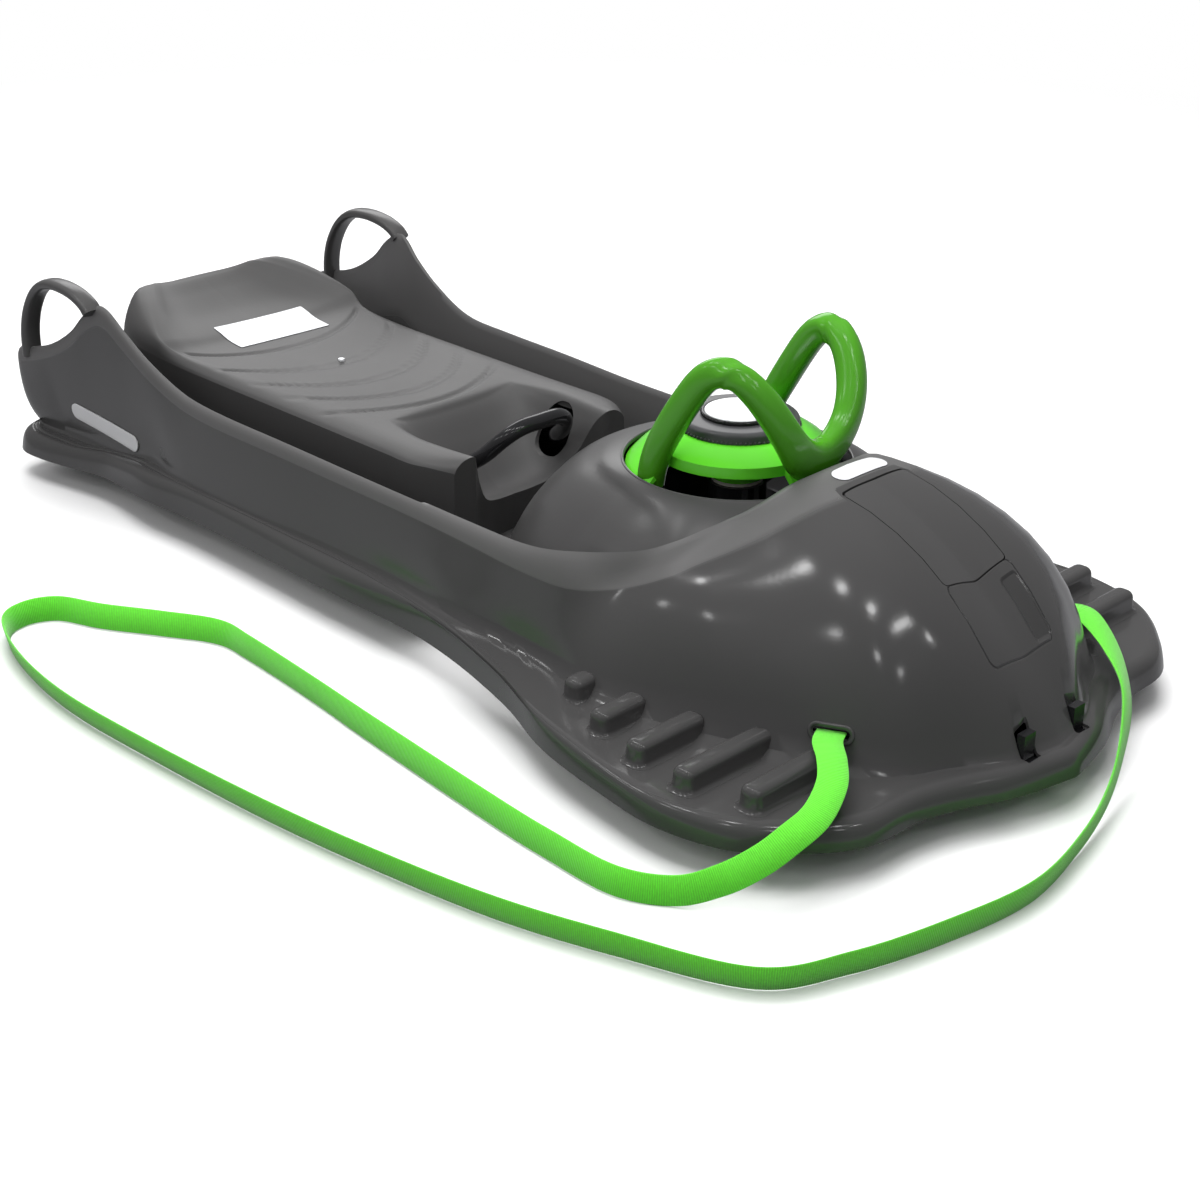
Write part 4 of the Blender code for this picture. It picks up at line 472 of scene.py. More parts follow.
def skin(shape, lines, closed=False):
    """Faces between neighbouring lines of vertices, left out where a vertex is."""
    for near, far in zip(lines, lines[1:]):
        for j in range(len(near) - (not closed)):
            k = (j + 1) % len(near)
            corners = (near[j], near[k], far[k], far[j])
            if None not in corners:
                shape.faces.new(corners)


def face_out(shape):
    """Turn a skin's faces so that its highest one looks up."""
    bmesh.ops.recalc_face_normals(shape, faces=shape.faces)
    shape.faces.ensure_lookup_table()
    if max(shape.faces, key=lambda face: face.calc_center_median().z).normal.z < 0:
        bmesh.ops.reverse_faces(shape, faces=shape.faces)


def skin_piece(name, shape, wall, levels=1):
    """A half skin, mirrored, rounded and given its wall inwards."""
    piece = made_from(name, shape)
    mirror = piece.modifiers.new("mirror", "MIRROR")
    mirror.merge_threshold = 0.0001
    if levels:
        rounding = piece.modifiers.new("rounding", "SUBSURF")
        rounding.levels = levels
        rounding.render_levels = levels
    thick = piece.modifiers.new("wall", "SOLIDIFY")
    thick.thickness = wall
    thick.offset = -1.0
    thick.use_even_offset = False
    return settle(piece)


def cut_away(piece, shapes, operation="DIFFERENCE"):
    """Cut a piece by closed shapes, or keep what it shares with them."""
    tools = bpy.data.collections.new("tools")
    bpy.context.scene.collection.children.link(tools)
    for shape in shapes:
        bmesh.ops.recalc_face_normals(shape, faces=shape.faces)
        mesh = bpy.data.meshes.new("tool")
        shape.to_mesh(mesh)
        shape.free()
        tools.objects.link(bpy.data.objects.new("tool", mesh))
    cut = piece.modifiers.new("cut", "BOOLEAN")
    cut.operation = operation
    cut.solver = "EXACT"
    cut.operand_type = "COLLECTION"
    cut.collection = tools
    settle(piece)
    for tool in list(tools.objects):
        bpy.data.objects.remove(tool)
    bpy.data.collections.remove(tools)
    return piece


def moved(x, y, z):
    """The matrix of a move."""
    return Matrix.Translation((x, y, z))


def rounded_outline(half_x, half_y, corner, steps=6):
    """Points of a rectangle with round corners."""
    points = []
    for quarter, (sx, sy) in enumerate(((1, 1), (-1, 1), (-1, -1), (1, -1))):
        for k in range(steps + 1):
            angle = pi / 2 * (quarter + k / steps)
            points.append((sx * (half_x - corner) + corner * cos(angle),
                           sy * (half_y - corner) + corner * sin(angle)))
    return points


def stack(outline_of, levels, place=None):
    """A closed body through outlines at heights: each level is how far its outline is drawn in, and its
    height."""
    shape = bmesh.new()
    rings = [[shape.verts.new((x, y, z)) for x, y in outline_of(inset)] for inset, z in levels]
    skin(shape, rings, True)
    shape.faces.new(rings[0])
    shape.faces.new(rings[-1])
    bmesh.ops.recalc_face_normals(shape, faces=shape.faces)
    if place:
        bmesh.ops.transform(shape, matrix=place, verts=shape.verts)
    return shape


def slab(half_x, half_y, corner, low, high, place=None, edge=0.0006):
    """A block with round upright corners and softened edges."""
    levels = ((edge, low), (0.0, low + edge), (0.0, high - edge), (edge, high))
    return stack(lambda inset: rounded_outline(half_x - inset, half_y - inset, corner - inset), levels, place)


def ring_points(radius, sides, middle=(0, 0)):
    """Points round a circle."""
    turns = [2 * pi * k / sides for k in range(sides)]
    return [(middle[0] + radius * cos(turn), middle[1] + radius * sin(turn)) for turn in turns]


def rod(radius, low, high, place, sides=40):
    """An upright round bar from one height to another."""
    return stack(lambda inset: ring_points(radius, sides), ((0, low), (0, high)), place)


def add_shapes(piece, shapes):
    """Lay closed shapes into a piece's mesh."""
    whole = bmesh.new()
    whole.from_mesh(piece.data)
    for shape in shapes:
        mesh = bpy.data.meshes.new("shape")
        shape.to_mesh(mesh)
        shape.free()
        whole.from_mesh(mesh)
        bpy.data.meshes.remove(mesh)
    whole.to_mesh(piece.data)
    whole.free()
    return piece


hull_shape = bmesh.new()
satin_layer = hull_shape.verts.layers.float.new("satin")
profile_rows = hull_rows()
hull_grid = []
for i in range(len(profile_rows)):
    line = []
    for j, point in enumerate(hull_profile(profile_rows, i)):
        vertex = None if point is None else hull_shape.verts.new(point)
        if vertex:
            vertex[satin_layer] = 1.0 if j in SATIN_PLACES else 0.0
        line.append(vertex)
    hull_grid.append(line)
skin(hull_shape, hull_grid)
bmesh.ops.remove_doubles(hull_shape, verts=hull_shape.verts, dist=0.00002)
face_out(hull_shape)
hull = skin_piece("hull_moulding", hull_shape, HULL_WALL)
lid_stock = hull.data.copy()

# Cuts in the hull: the hatch's window, two notches and two strap slots in the nose, each slot with a
# raised bead round it, and the claw's slot in the floor.
HATCH_HALF_WIDTH = 0.0375
HATCH_REAR = -0.3680
HATCH_FRONT = -0.4700
HATCH_CORNER = 0.0045
NOTCH_X = 0.031
NOTCH_WIDTH = 0.015
NOTCH_Y = -0.5465
NOTCH_LENGTH = 0.017
NOTCH_TOP = 0.072
SLOT_LENGTH = 0.027
SLOT_HEIGHT = 0.007
SLOT_X = 0.146
SLOT_Y = -0.458
SLOT_Z = 0.071
SLOT_CORNER = 0.0030
SLOT_CUT = 0.022
BEAD_GAP = 0.0022
BEAD_RADIUS = 0.0017
SLOT_TURN = radians(30)
PROBE_FROM = 0.06
HATCH_CUT = (0.120, 0.215)
NOTCH_CUT = (0.035, NOTCH_TOP)
NOTCH_CORNER = 0.0015
CLAW_SLOT_HALF_WIDTH = 0.034
CLAW_SLOT_FRONT = 0.262
CLAW_SLOT_REAR = 0.322
CLAW_SLOT_CORNER = 0.004
CLAW_CUT = (0.0, 0.040)
hatch_middle = (HATCH_REAR + HATCH_FRONT) / 2
hatch_half_length = (HATCH_REAR - HATCH_FRONT) / 2
openings = [slab(HATCH_HALF_WIDTH, hatch_half_length, HATCH_CORNER, *HATCH_CUT, moved(0, hatch_middle, 0))]
for hand in (-1, 1):
    notch_place = moved(hand * NOTCH_X, NOTCH_Y, 0)
    openings.append(slab(NOTCH_WIDTH / 2, NOTCH_LENGTH / 2, NOTCH_CORNER, *NOTCH_CUT, notch_place))
    slot_place = moved(hand * SLOT_X, SLOT_Y, SLOT_Z) @ Matrix.Rotation(-hand * SLOT_TURN, 4, "Z")
    lying = slot_place @ Matrix.Rotation(pi / 2, 4, "Y")
    openings.append(slab(SLOT_HEIGHT / 2, SLOT_LENGTH / 2, SLOT_CORNER, -SLOT_CUT, SLOT_CUT, lying))
claw_middle = (CLAW_SLOT_FRONT + CLAW_SLOT_REAR) / 2
openings.append(slab(CLAW_SLOT_HALF_WIDTH, (CLAW_SLOT_REAR - CLAW_SLOT_FRONT) / 2, CLAW_SLOT_CORNER,
                     *CLAW_CUT, moved(0, claw_middle, 0)))
cut_away(hull, openings)
hull_surface = BVHTree.FromObject(hull, bpy.context.evaluated_depsgraph_get())


def ring_on_wall(place, half_along, half_across, bead):
    """A raised bead round a slot, laid on the wall that the slot's axis meets."""
    outline = rounded_outline(half_across, half_along, half_across - 0.0001, 8)
    outline.append(outline[0])
    axis = (place.to_3x3() @ Vector((1, 0, 0))).normalized()
    path = []
    for across, along in outline:
        start = place @ Vector((PROBE_FROM, along, across))
        hit = hull_surface.ray_cast(start, -axis, 2 * PROBE_FROM)[0]
        path.append(hit or start - axis * PROBE_FROM)
    return bar_shape(path, [axis] * len(path), [ring_points(bead, 10)] * len(path))


slot_rings = []
for hand, turn_out in ((-1, pi + SLOT_TURN), (1, -SLOT_TURN)):
    slot_place = moved(hand * SLOT_X, SLOT_Y, SLOT_Z) @ Matrix.Rotation(turn_out, 4, "Z")
    slot_rings.append(ring_on_wall(slot_place, SLOT_LENGTH / 2 + BEAD_GAP, SLOT_HEIGHT / 2 + BEAD_GAP,
                                   BEAD_RADIUS))

# Ribs on the front deck, keels and brake brackets, moulded with the hull: each rib is a round-topped bar
# with a small fillet round its foot.
RIB_WIDTH = 0.0200
RIB_TOP = 0.0640
RIB_BASE = 0.0455
RIB_FIRST = -0.2575
RIB_PITCH = 0.0502
RIB_ROUND = 0.0065
RIB_CORNER = 0.0078
RIB_FOOT = ((-0.0036, -0.0020), (-0.0036, 0.0006), (-0.0022, 0.0012), (-0.0008, 0.0024), (0.0, 0.0045))
RIB_OUTSIDE_SHARES = (0.778, 0.857, 0.903, 0.917, 0.862)
RIB_INSIDE_SHARES = (0.685, 0.676, 0.639, 0.563, 0.515)
KEEL_X = 0.115
KEEL_WIDTH = 0.018
KEEL_FRONT = 0.020
KEEL_REAR = 0.510
KEEL_CORNER = 0.006
KEEL_EDGE = 0.0015
SUNK = 0.001
BRAKE_AXIS_Y = 0.150
BRAKE_AXIS_Z = 0.075
PIVOT_HALF_LENGTH = 0.1035
BRACKET_THICKNESS = 0.008
BRACKET_HALF_DEPTH = 0.016
BRACKET_TOP = 0.083
BRACKET_CORNER = 0.0015
BRACKET_EDGE = 0.0010
rib_levels = [(inset, RIB_BASE + rise) for inset, rise in RIB_FOOT]
for k in range(9):
    turn = pi / 2 * k / 8
    rib_levels.append((RIB_ROUND * (1 - cos(turn)) + 0.0006, RIB_TOP - RIB_ROUND * (1 - sin(turn))))
moulded_in = []
for hand in (-1, 1):
    for number, inside_share in enumerate(RIB_INSIDE_SHARES):
        inside = inside_share * HALF_WIDTH
        outside = RIB_OUTSIDE_SHARES[number] * HALF_WIDTH
        half_rib = (outside - inside) / 2

        def rib_outline(inset):
            return rounded_outline(half_rib - inset, RIB_WIDTH / 2 - inset, RIB_CORNER - inset * 0.9)

        rib_place = moved(hand * (inside + outside) / 2, RIB_FIRST - RIB_PITCH * number, 0)
        moulded_in.append(stack(rib_outline, rib_levels, rib_place))
    keel_place = moved(hand * KEEL_X, (KEEL_FRONT + KEEL_REAR) / 2, 0)
    moulded_in.append(slab(KEEL_WIDTH / 2, (KEEL_REAR - KEEL_FRONT) / 2, KEEL_CORNER, 0.0, FLOOR_TOP - SUNK,
                           keel_place, KEEL_EDGE))
    ear_place = moved(hand * (PIVOT_HALF_LENGTH - BRACKET_THICKNESS / 2), BRAKE_AXIS_Y, 0)
    moulded_in.append(slab(BRACKET_THICKNESS / 2 - 0.0002, BRACKET_HALF_DEPTH, BRACKET_CORNER,
                           FLOOR_TOP - SUNK, BRACKET_TOP, ear_place, BRACKET_EDGE))
add_shapes(hull, moulded_in + slot_rings)

# The hull's finish: gloss with a satin band round the cockpit's edge, whose colour is painted lighter as
# sheen, and before the hatch an engraved panel with a finger recess at one side of it, both darkened with
# painted shade.
# A panel is its middle across and along, its half width, its half length and its corners' radius.
PANEL = (0.0, -0.4933, 0.0380, 0.0237, 0.0065)
FINGER_RECESS = (0.0272, -0.4965, 0.0088, 0.0185, 0.0030)
LINE_SHARPNESS = 1100.0
RECESS_SHARPNESS = 500.0
HOOD_FROM = 0.085
# Painted shade: the black that darkens the panel's engraved groove and the finger recess.
PAINTED_GROOVE_SHADE = (0.006, 0.006, 0.006)


def box_distance(x, y, shape):
    """How far a place is outside a rectangle with round corners, less than nothing inside it."""
    middle_x, middle_y, half_x, half_y, corner = shape
    dx = x.math("ABSOLUTE", x - middle_x) - (half_x - corner)
    dy = x.math("ABSOLUTE", y - middle_y) - (half_y - corner)
    out_x = x.math("MAXIMUM", dx, 0.0)
    out_y = x.math("MAXIMUM", dy, 0.0)
    beyond = x.math("SQRT", out_x * out_x + out_y * out_y)
    return beyond + x.math("MINIMUM", x.math("MAXIMUM", dx, dy), 0.0) - corner


# The satin band's mask: it sets the band's rougher finish, and it also paints the band's colour lighter as
# sheen.
satin = ((hull_finish.node("Attribute", {"attribute_name": "satin"}, {}, "Fac") - 0.35) * 5.0).clamped()
hull_finish.set("Roughness", satin * 0.26 + hull_finish.noise(7.0, 4.0) * 0.08 + 0.11)
hull_x = hull_finish.node("SeparateXYZ", {}, {0: hull_finish.place()}, 0)
hull_y = hull_x.out("Y")
on_hood = hull_x.math("GREATER_THAN", hull_x.out("Z"), HOOD_FROM)
panel_away = hull_x.math("ABSOLUTE", box_distance(hull_x, hull_y, PANEL))
groove = (1 - panel_away * LINE_SHARPNESS).clamped() * on_hood
recess = (0.5 - box_distance(hull_x, hull_y, FINGER_RECESS) * RECESS_SHARPNESS).clamped() * on_hood
flow_marks = hull_finish.noise(3.0, 2.0)
body_tone = hull_finish.mixed(flow_marks, shade(PLASTIC_ANTHRACITE, 0.90), shade(PLASTIC_ANTHRACITE, 1.06))
# Painted sheen: the satin band's colour is the anthracite painted lighter; only its greater roughness is
# real.
satin_sheen_tone = hull_finish.mixed(satin, body_tone, shade(PLASTIC_ANTHRACITE, 1.75))
# Painted shade: the groove and the finger recess are darkened towards black; their depth is a bump.
shadow = groove * 0.85 + recess * 0.25
hull_finish.set("Base Color", hull_finish.mixed(shadow, satin_sheen_tone, shade(PAINTED_GROOVE_SHADE, 1.0)))
grain = hull_finish.noise(260.0, 2.0) * 0.03 + hull_finish.noise(30.0, 2.0) * 0.05
hull_finish.bump(grain - groove * 0.7 - recess * 1.6, 0.0010)
dress(hull, hull_finish)
hand_over(hull, "sled", "anthracite_plastic", "hull")

# Badges: a bare silver plate with round ends, bent to each side wall at the rear and stuck on it, rising
# a little towards the back.
BADGE_LENGTH = 0.108
BADGE_HEIGHT = 0.0165
BADGE_Y = 0.4325
BADGE_Z = 0.0725
BADGE_X = 0.235
BADGE_CORNER = 0.0080
BADGE_THICKNESS = 0.0011
BADGE_SLANT = radians(6)
SILVER = (0.66, 0.66, 0.67)
PROBE_REACH = 0.2
PLATE_LIFT = 0.0004
PLATE_COLUMNS = 56
PLATE_ROWS = 10


def laid_plate(name, surface, centre, along, across, size, corner, thickness):
    """A thin plate with round corners laid on a surface, its corners' radius given."""
    centre = Vector(centre)
    along = Vector(along).normalized()
    across = Vector(across).normalized()
    inward = across.cross(along).normalized()
    half_length = size[0] / 2
    half_height = size[1] / 2
    shape = bmesh.new()
    grid = []
    for i in range(PLATE_COLUMNS + 1):
        u = -half_length * cos(pi * i / PLATE_COLUMNS)
        past = max(0.0, abs(u) - (half_length - corner)) / corner
        reach = half_height - corner + corner * sqrt(max(0.0, 1 - past * past))
        line = []
        for j in range(PLATE_ROWS + 1):
            point = centre + along * u + across * reach * (2 * j / PLATE_ROWS - 1)
            hit = surface.ray_cast(point - inward * PROBE_FROM, inward, PROBE_REACH)[0]
            line.append(shape.verts.new((hit or point) - inward * PLATE_LIFT))
        grid.append(line)
    skin(shape, grid)
    bmesh.ops.remove_doubles(shape, verts=shape.verts, dist=0.00005)
    bmesh.ops.recalc_face_normals(shape, faces=shape.faces)
    shape.faces.ensure_lookup_table()
    if shape.faces[len(shape.faces) // 2].normal.dot(inward) > 0:
        bmesh.ops.reverse_faces(shape, faces=shape.faces)
    piece = made_from(name, shape)
    plate = piece.modifiers.new("plate", "SOLIDIFY")
    plate.thickness = thickness
    plate.offset = 1.0
    bevel = piece.modifiers.new("edge", "BEVEL")
    bevel.width = thickness * 0.3
    bevel.segments = 2
    bevel.angle_limit = radians(50)
    return settle(piece)


silver = Finish("brushed_silver_plate", SILVER, 0.34, 0.25)
silver.set("Roughness", silver.noise(60.0) * 0.10 + 0.26)
silver.bump(silver.noise(700.0, 2.0), 0.00003)
for side, hand in (("left", -1), ("right", 1)):
    badge_along = (0, hand * cos(BADGE_SLANT), hand * sin(BADGE_SLANT))
    badge_across = (0, -sin(BADGE_SLANT), cos(BADGE_SLANT))
    badge = laid_plate(f"badge_plate_{side}", hull_surface, (hand * BADGE_X, BADGE_Y, BADGE_Z), badge_along,
                       badge_across, (BADGE_LENGTH, BADGE_HEIGHT), BADGE_CORNER, BADGE_THICKNESS)
    hand_over(dress(badge, silver, 50), "sled", "silver_plate", f"badge_{side}")

# Nose frame, hatch tray, strap anchors, bushes, column, brake rod, pins and screws: plain pieces that keep
# their CAD shape and take a finish of black or pale plastic or of zinc-plated steel.
BLACK_PLASTIC = (0.012, 0.012, 0.013)
BUSH_PALE = (0.62, 0.60, 0.53)
ZINC = (0.560, 0.570, 0.580)
black_gloss = moulded("black_gloss", BLACK_PLASTIC, 0.16, 0.00004)
bush_pale = moulded("pale_bush", BUSH_PALE, 0.45)
zinc = Finish("zinc_plated", ZINC, 0.30, 1.0)
zinc.set("Roughness", zinc.noise(120.0) * 0.20 + 0.24)
zinc.bump(zinc.noise(500.0), 0.00003)


def finish_nodes(finish, *names):
    """Give CAD nodes that are shown as they are a finish."""
    for name in names:
        for held in frame["nodes"][name].material_slots:
            held.material = finish.material


finish_nodes(black_gloss, "nose_frame", "hatch_tray", "strap_anchor_left", "strap_anchor_right")
finish_nodes(bush_pale, "lower_bush", "upper_bush")
finish_nodes(zinc, "hatch_pin_left", "hatch_pin_right", "column_pin", "steering_column", "brake_pivot_rod")
finish_nodes(zinc, *[name for name in frame["nodes"] if "screw" in name])

# Dome: a bell of the same anthracite plastic over the column, squashed at its sides, with a thin rolled
# ring round its opening.
AXIS_Y = -0.232
DOME_OPENING = 0.0925
DOME_WALL = 0.0030
DOME_SQUASH = 0.82
DOME_TOP = 0.180
DOME_FOOT = 0.250
DOME_SIDE = 0.147
DOME_FRONT = 0.112
DOME_TUCK = 0.0015
DOME_TUCK_DROP = 0.0075
DOME_EDGE_SHARE = 0.85
DOME_EDGE_DROP = 0.0100
DOME_FRONT_CURVE = 1.4
DOME_FRONT_FORM = (-0.25, 0.6)
DOME_ROUND_SHARE = 0.13
DOME_TURNS = 56
DOME_STEPS = 30
RING_RADIUS = 0.0013
RING_OUT = 0.0002
RING_DROP = 0.0009
DOME_SHARES = (
    (0.37, 1.00), (0.48, 0.956), (0.60, 0.861), (0.72, 0.694), (0.80, 0.528),
    (0.88, 0.290), (0.94, 0.232), (1.0, 0.212),
)
dome_line = smooth(DOME_SHARES, DOME_STEPS)


def dome_height(share):
    """The bell's height at a share of its foot's radius."""
    for (s0, h0), (s1, h1) in zip(dome_line, dome_line[1:]):
        if share <= s1:
            return DOME_TOP * (h0 + (h1 - h0) * (share - s0) / (s1 - s0))
    return DOME_TOP * dome_line[-1][1]


def dome_front(angle, share):
    """A point of the bell's front, whose skin runs from its opening to just under the hull's rim."""
    line = [row[3] for row in profile_rows]
    bearings = [atan2(point.x, point.y - AXIS_Y) for point in line]
    rim = line[-1]
    for near, far, low, high in zip(line, line[1:], bearings, bearings[1:]):
        if low <= angle <= high and high > low:
            rim = near.lerp(far, (angle - low) / (high - low))
    far_radius = max(hypot(rim.x, rim.y - AXIS_Y) + DOME_TUCK, DOME_FRONT)
    first = DOME_SHARES[0][0]
    along = (share - first) / (1 - first)
    down = min(1.0, along / DOME_EDGE_SHARE)
    low = min(rim.z - DOME_TUCK_DROP, dome_height(far_radius / DOME_FOOT))
    radius = first * DOME_FOOT + (far_radius - first * DOME_FOOT) * down
    height = DOME_TOP + (low - DOME_TOP) * down ** DOME_FRONT_CURVE
    height -= DOME_EDGE_DROP * max(0.0, along - DOME_EDGE_SHARE) / (1 - DOME_EDGE_SHARE)
    return Vector((radius * sin(angle), AXIS_Y + radius * cos(angle), height))


dome_shape = bmesh.new()
dome_grid = []
for i in range(DOME_TURNS + 1):
    angle = pi * i / DOME_TURNS
    side_way = max(abs(sin(angle)), DOME_SQUASH * 0.1)
    front = begun(-cos(angle), DOME_FRONT_FORM)
    reach = min(DOME_FOOT, DOME_SIDE / (DOME_SQUASH * side_way))
    reach = min(reach, DOME_FOOT + (DOME_FRONT - DOME_FOOT) * front) / DOME_FOOT
    first = dome_line[0][0]
    line = []
    for share, _ in dome_line:
        scaled = first + (share - first) * (reach - first) / (1 - first)
        radius = scaled * DOME_FOOT
        squash = DOME_SQUASH + (1 - DOME_SQUASH) * max(0.0, 1 - (scaled - first) / DOME_ROUND_SHARE)
        own = Vector((radius * squash * sin(angle), AXIS_Y + radius * cos(angle), dome_height(scaled)))
        point = own.lerp(dome_front(angle, share), front)
        if i in (0, DOME_TURNS):
            point.x = 0.0
        line.append(dome_shape.verts.new(point))
    dome_grid.append(line)
skin(dome_shape, dome_grid)
face_out(dome_shape)
dome = skin_piece("dome_bell", dome_shape, DOME_WALL, 0)


def turned_shape(profile, turns, place):
    """A turned body about the vertical, from its closed section as (radius, height)."""
    shape = bmesh.new()
    rings = []
    for k in range(turns):
        angle = 2 * pi * k / turns
        rings.append([shape.verts.new((r * cos(angle), r * sin(angle), z)) for r, z in profile])
    for k in range(turns):
        near = rings[k]
        far = rings[(k + 1) % turns]
        for j in range(len(profile)):
            m = (j + 1) % len(profile)
            if profile[j][0] + profile[m][0] > 0:
                shape.faces.new((near[j], near[m], far[m], far[j]))
    bmesh.ops.remove_doubles(shape, verts=shape.verts, dist=0.000001)
    bmesh.ops.recalc_face_normals(shape, faces=shape.faces)
    bmesh.ops.transform(shape, matrix=place, verts=shape.verts)
    return shape


ring_middle = (DOME_OPENING + RING_OUT, DOME_TOP - RING_DROP)
dome_ring = turned_shape(ring_points(RING_RADIUS, 12, ring_middle), 120, moved(0, AXIS_Y, 0))
add_shapes(dome, [dome_ring])
dome_finish = moulded("anthracite_dome", PLASTIC_ANTHRACITE, 0.30, 0.00006)
hand_over(dress(dome, dome_finish), "sled", "anthracite_plastic", "steering_dome")

# Wheel: a green cup over the column with a pocket at each side and one thick bar bent into two loops, moulded
# in one piece; the cup is painted a lighter green than the loops, as painted light on its upturned top. It
# stands a few degrees off straight, as all of the steering does.
STEER_NOW = radians(5.9)
COLUMN_BORE = 0.0125
WHEEL_RADIUS = 0.090
WHEEL_EDGE_HEIGHT = 0.176
WHEEL_TOP_RADIUS = 0.052
WHEEL_TOP = 0.207
WHEEL_WALL = 0.004
WHEEL_EDGE_DRAFT = 0.001
WHEEL_BOSS_RADIUS = 0.021
WHEEL_BOSS_FOOT = 0.1641
LOOP_SECTION = 0.0236
LOOP_HEIGHT = 0.279
LOOP_STEPS = 110
LEAF_GREEN = (0.066, 0.300, 0.012)
# Painted light: the loops' green painted lighter for the cup, where light falls on its top.
LIT_CUP_GREEN = (0.120, 0.640, 0.028)
POCKET_INSIDE = 0.069
POCKET_OUTSIDE = 0.108
POCKET_DROP = 0.012
POCKET_FRONT = -68
POCKET_REAR = 14
POCKET_STEPS = 25
LOOP_SHARES = (
    (0.80, 0.35, 0.615, 0.90, 0.85), (0.835, 0.29, 0.695, 0.95, 0.90), (0.85, 0.12, 0.80, 1.0, 0.95),
    (0.83, -0.08, 0.905, 1.0, 0.95), (0.812, -0.23, 0.972, 1.0, 0.95), (0.785, -0.40, 0.998, 1.0, 0.95),
    (0.725, -0.60, 0.975, 1.0, 0.95), (0.61, -0.77, 0.895, 1.0, 1.0), (0.44, -0.87, 0.795, 0.95, 1.1),
    (0.22, -0.85, 0.72, 0.90, 1.4), (0.0, -0.84, 0.695, 0.90, 1.6),
)
steer = moved(0, AXIS_Y, 0) @ Matrix.Rotation(STEER_NOW, 4, "Z")
cup_outside = smooth(((WHEEL_TOP_RADIUS * 0.8, WHEEL_TOP), (WHEEL_TOP_RADIUS, WHEEL_TOP),
                      (0.78 * WHEEL_RADIUS, 0.945 * WHEEL_TOP), (0.93 * WHEEL_RADIUS, 0.885 * WHEEL_TOP),
                      (WHEEL_RADIUS, WHEEL_EDGE_HEIGHT)), 24)
cup_inside = smooth(((WHEEL_RADIUS - WHEEL_WALL, WHEEL_EDGE_HEIGHT), (0.72 * WHEEL_RADIUS, 0.92 * WHEEL_TOP),
                     (WHEEL_TOP_RADIUS - WHEEL_WALL, WHEEL_TOP - WHEEL_WALL)), 14)
cup_foot = WHEEL_EDGE_HEIGHT - WHEEL_WALL
wheel_profile = [(COLUMN_BORE, WHEEL_TOP)] + [tuple(row) for row in cup_outside]
wheel_profile += [(WHEEL_RADIUS - WHEEL_EDGE_DRAFT, cup_foot), (WHEEL_RADIUS - WHEEL_WALL, cup_foot)]
wheel_profile += [tuple(row) for row in cup_inside]
wheel_profile += [(WHEEL_BOSS_RADIUS, WHEEL_TOP - WHEEL_WALL), (WHEEL_BOSS_RADIUS, WHEEL_BOSS_FOOT),
                  (COLUMN_BORE, WHEEL_BOSS_FOOT)]
wheel = made_from("wheel", turned_shape(wheel_profile, 128, steer))
pockets = []
for hand in (-1, 1):
    inner = []
    outer = []
    for k in range(POCKET_STEPS):
        angle = radians(POCKET_FRONT + (POCKET_REAR - POCKET_FRONT) * k / (POCKET_STEPS - 1))
        inner.append((hand * POCKET_INSIDE * cos(angle), POCKET_INSIDE * sin(angle)))
        outer.insert(0, (hand * POCKET_OUTSIDE * cos(angle), POCKET_OUTSIDE * sin(angle)))
    pocket_levels = ((0, WHEEL_EDGE_HEIGHT - POCKET_DROP), (0, WHEEL_TOP))
    pockets.append(stack(lambda inset: inner + outer, pocket_levels, steer))
cut_away(wheel, pockets)


def oval(width, height, corner, count):
    """Points of a rounded rectangle, as a superellipse; a corner of 2 is an ellipse."""
    points = []
    for i in range(count):
        c = cos(2 * pi * (i + 0.5) / count)
        s = sin(2 * pi * (i + 0.5) / count)
        u = abs(c) ** (2 / corner) * (1 if c > 0 else -1) * width / 2
        v = abs(s) ** (2 / corner) * (1 if s > 0 else -1) * height / 2
        points.append((u, v))
    return points


def eased(path, times):
    """A path whose points are drawn towards their neighbours, with its ends held."""
    for _ in range(times):
        between = [(a + b * 2 + c) / 4 for a, b, c in zip(path, path[1:], path[2:])]
        path = [path[0]] + between + [path[-1]]
    return path


# A mark on the cup's points, by which its colour is painted lighter as light on it.
cup_mark = wheel.data.attributes.new("cup", "FLOAT", "POINT")
for value in cup_mark.data:
    value.value = 1.0
loop_half = smooth(LOOP_SHARES, LOOP_STEPS)
loop_whole = [[-row[0]] + row[1:] for row in loop_half] + list(reversed(loop_half[:-1]))
loop_path = [Vector((x * WHEEL_RADIUS, y * WHEEL_RADIUS, z * LOOP_HEIGHT)) for x, y, z, w, h in loop_whole]
loop_sides = [Vector((0.0, -1.0, -0.25))] * len(loop_path)
loop_sections = [oval(w * LOOP_SECTION, h * LOOP_SECTION, 2.5, 28) for x, y, z, w, h in loop_whole]
loop_bar = bar_shape(eased(loop_path, 60), loop_sides, loop_sections)
bmesh.ops.transform(loop_bar, matrix=steer, verts=loop_bar.verts)
add_shapes(wheel, [loop_bar])
wheel_green = moulded("green_gloss", LEAF_GREEN, 0.20, 0.00005, 200.0, 0.06)
# Painted light: the cup takes the lighter green, the loops their own.
cup_lit_share = wheel_green.node("Attribute", {"attribute_name": "cup"}, {}, "Fac")
wheel_green.set("Base Color", wheel_green.mixed(cup_lit_share, shade(LEAF_GREEN, 1.0), shade(LIT_CUP_GREEN, 1.0)))
hand_over(dress(wheel, wheel_green, 45), "steering", "green_plastic", "steering_wheel")

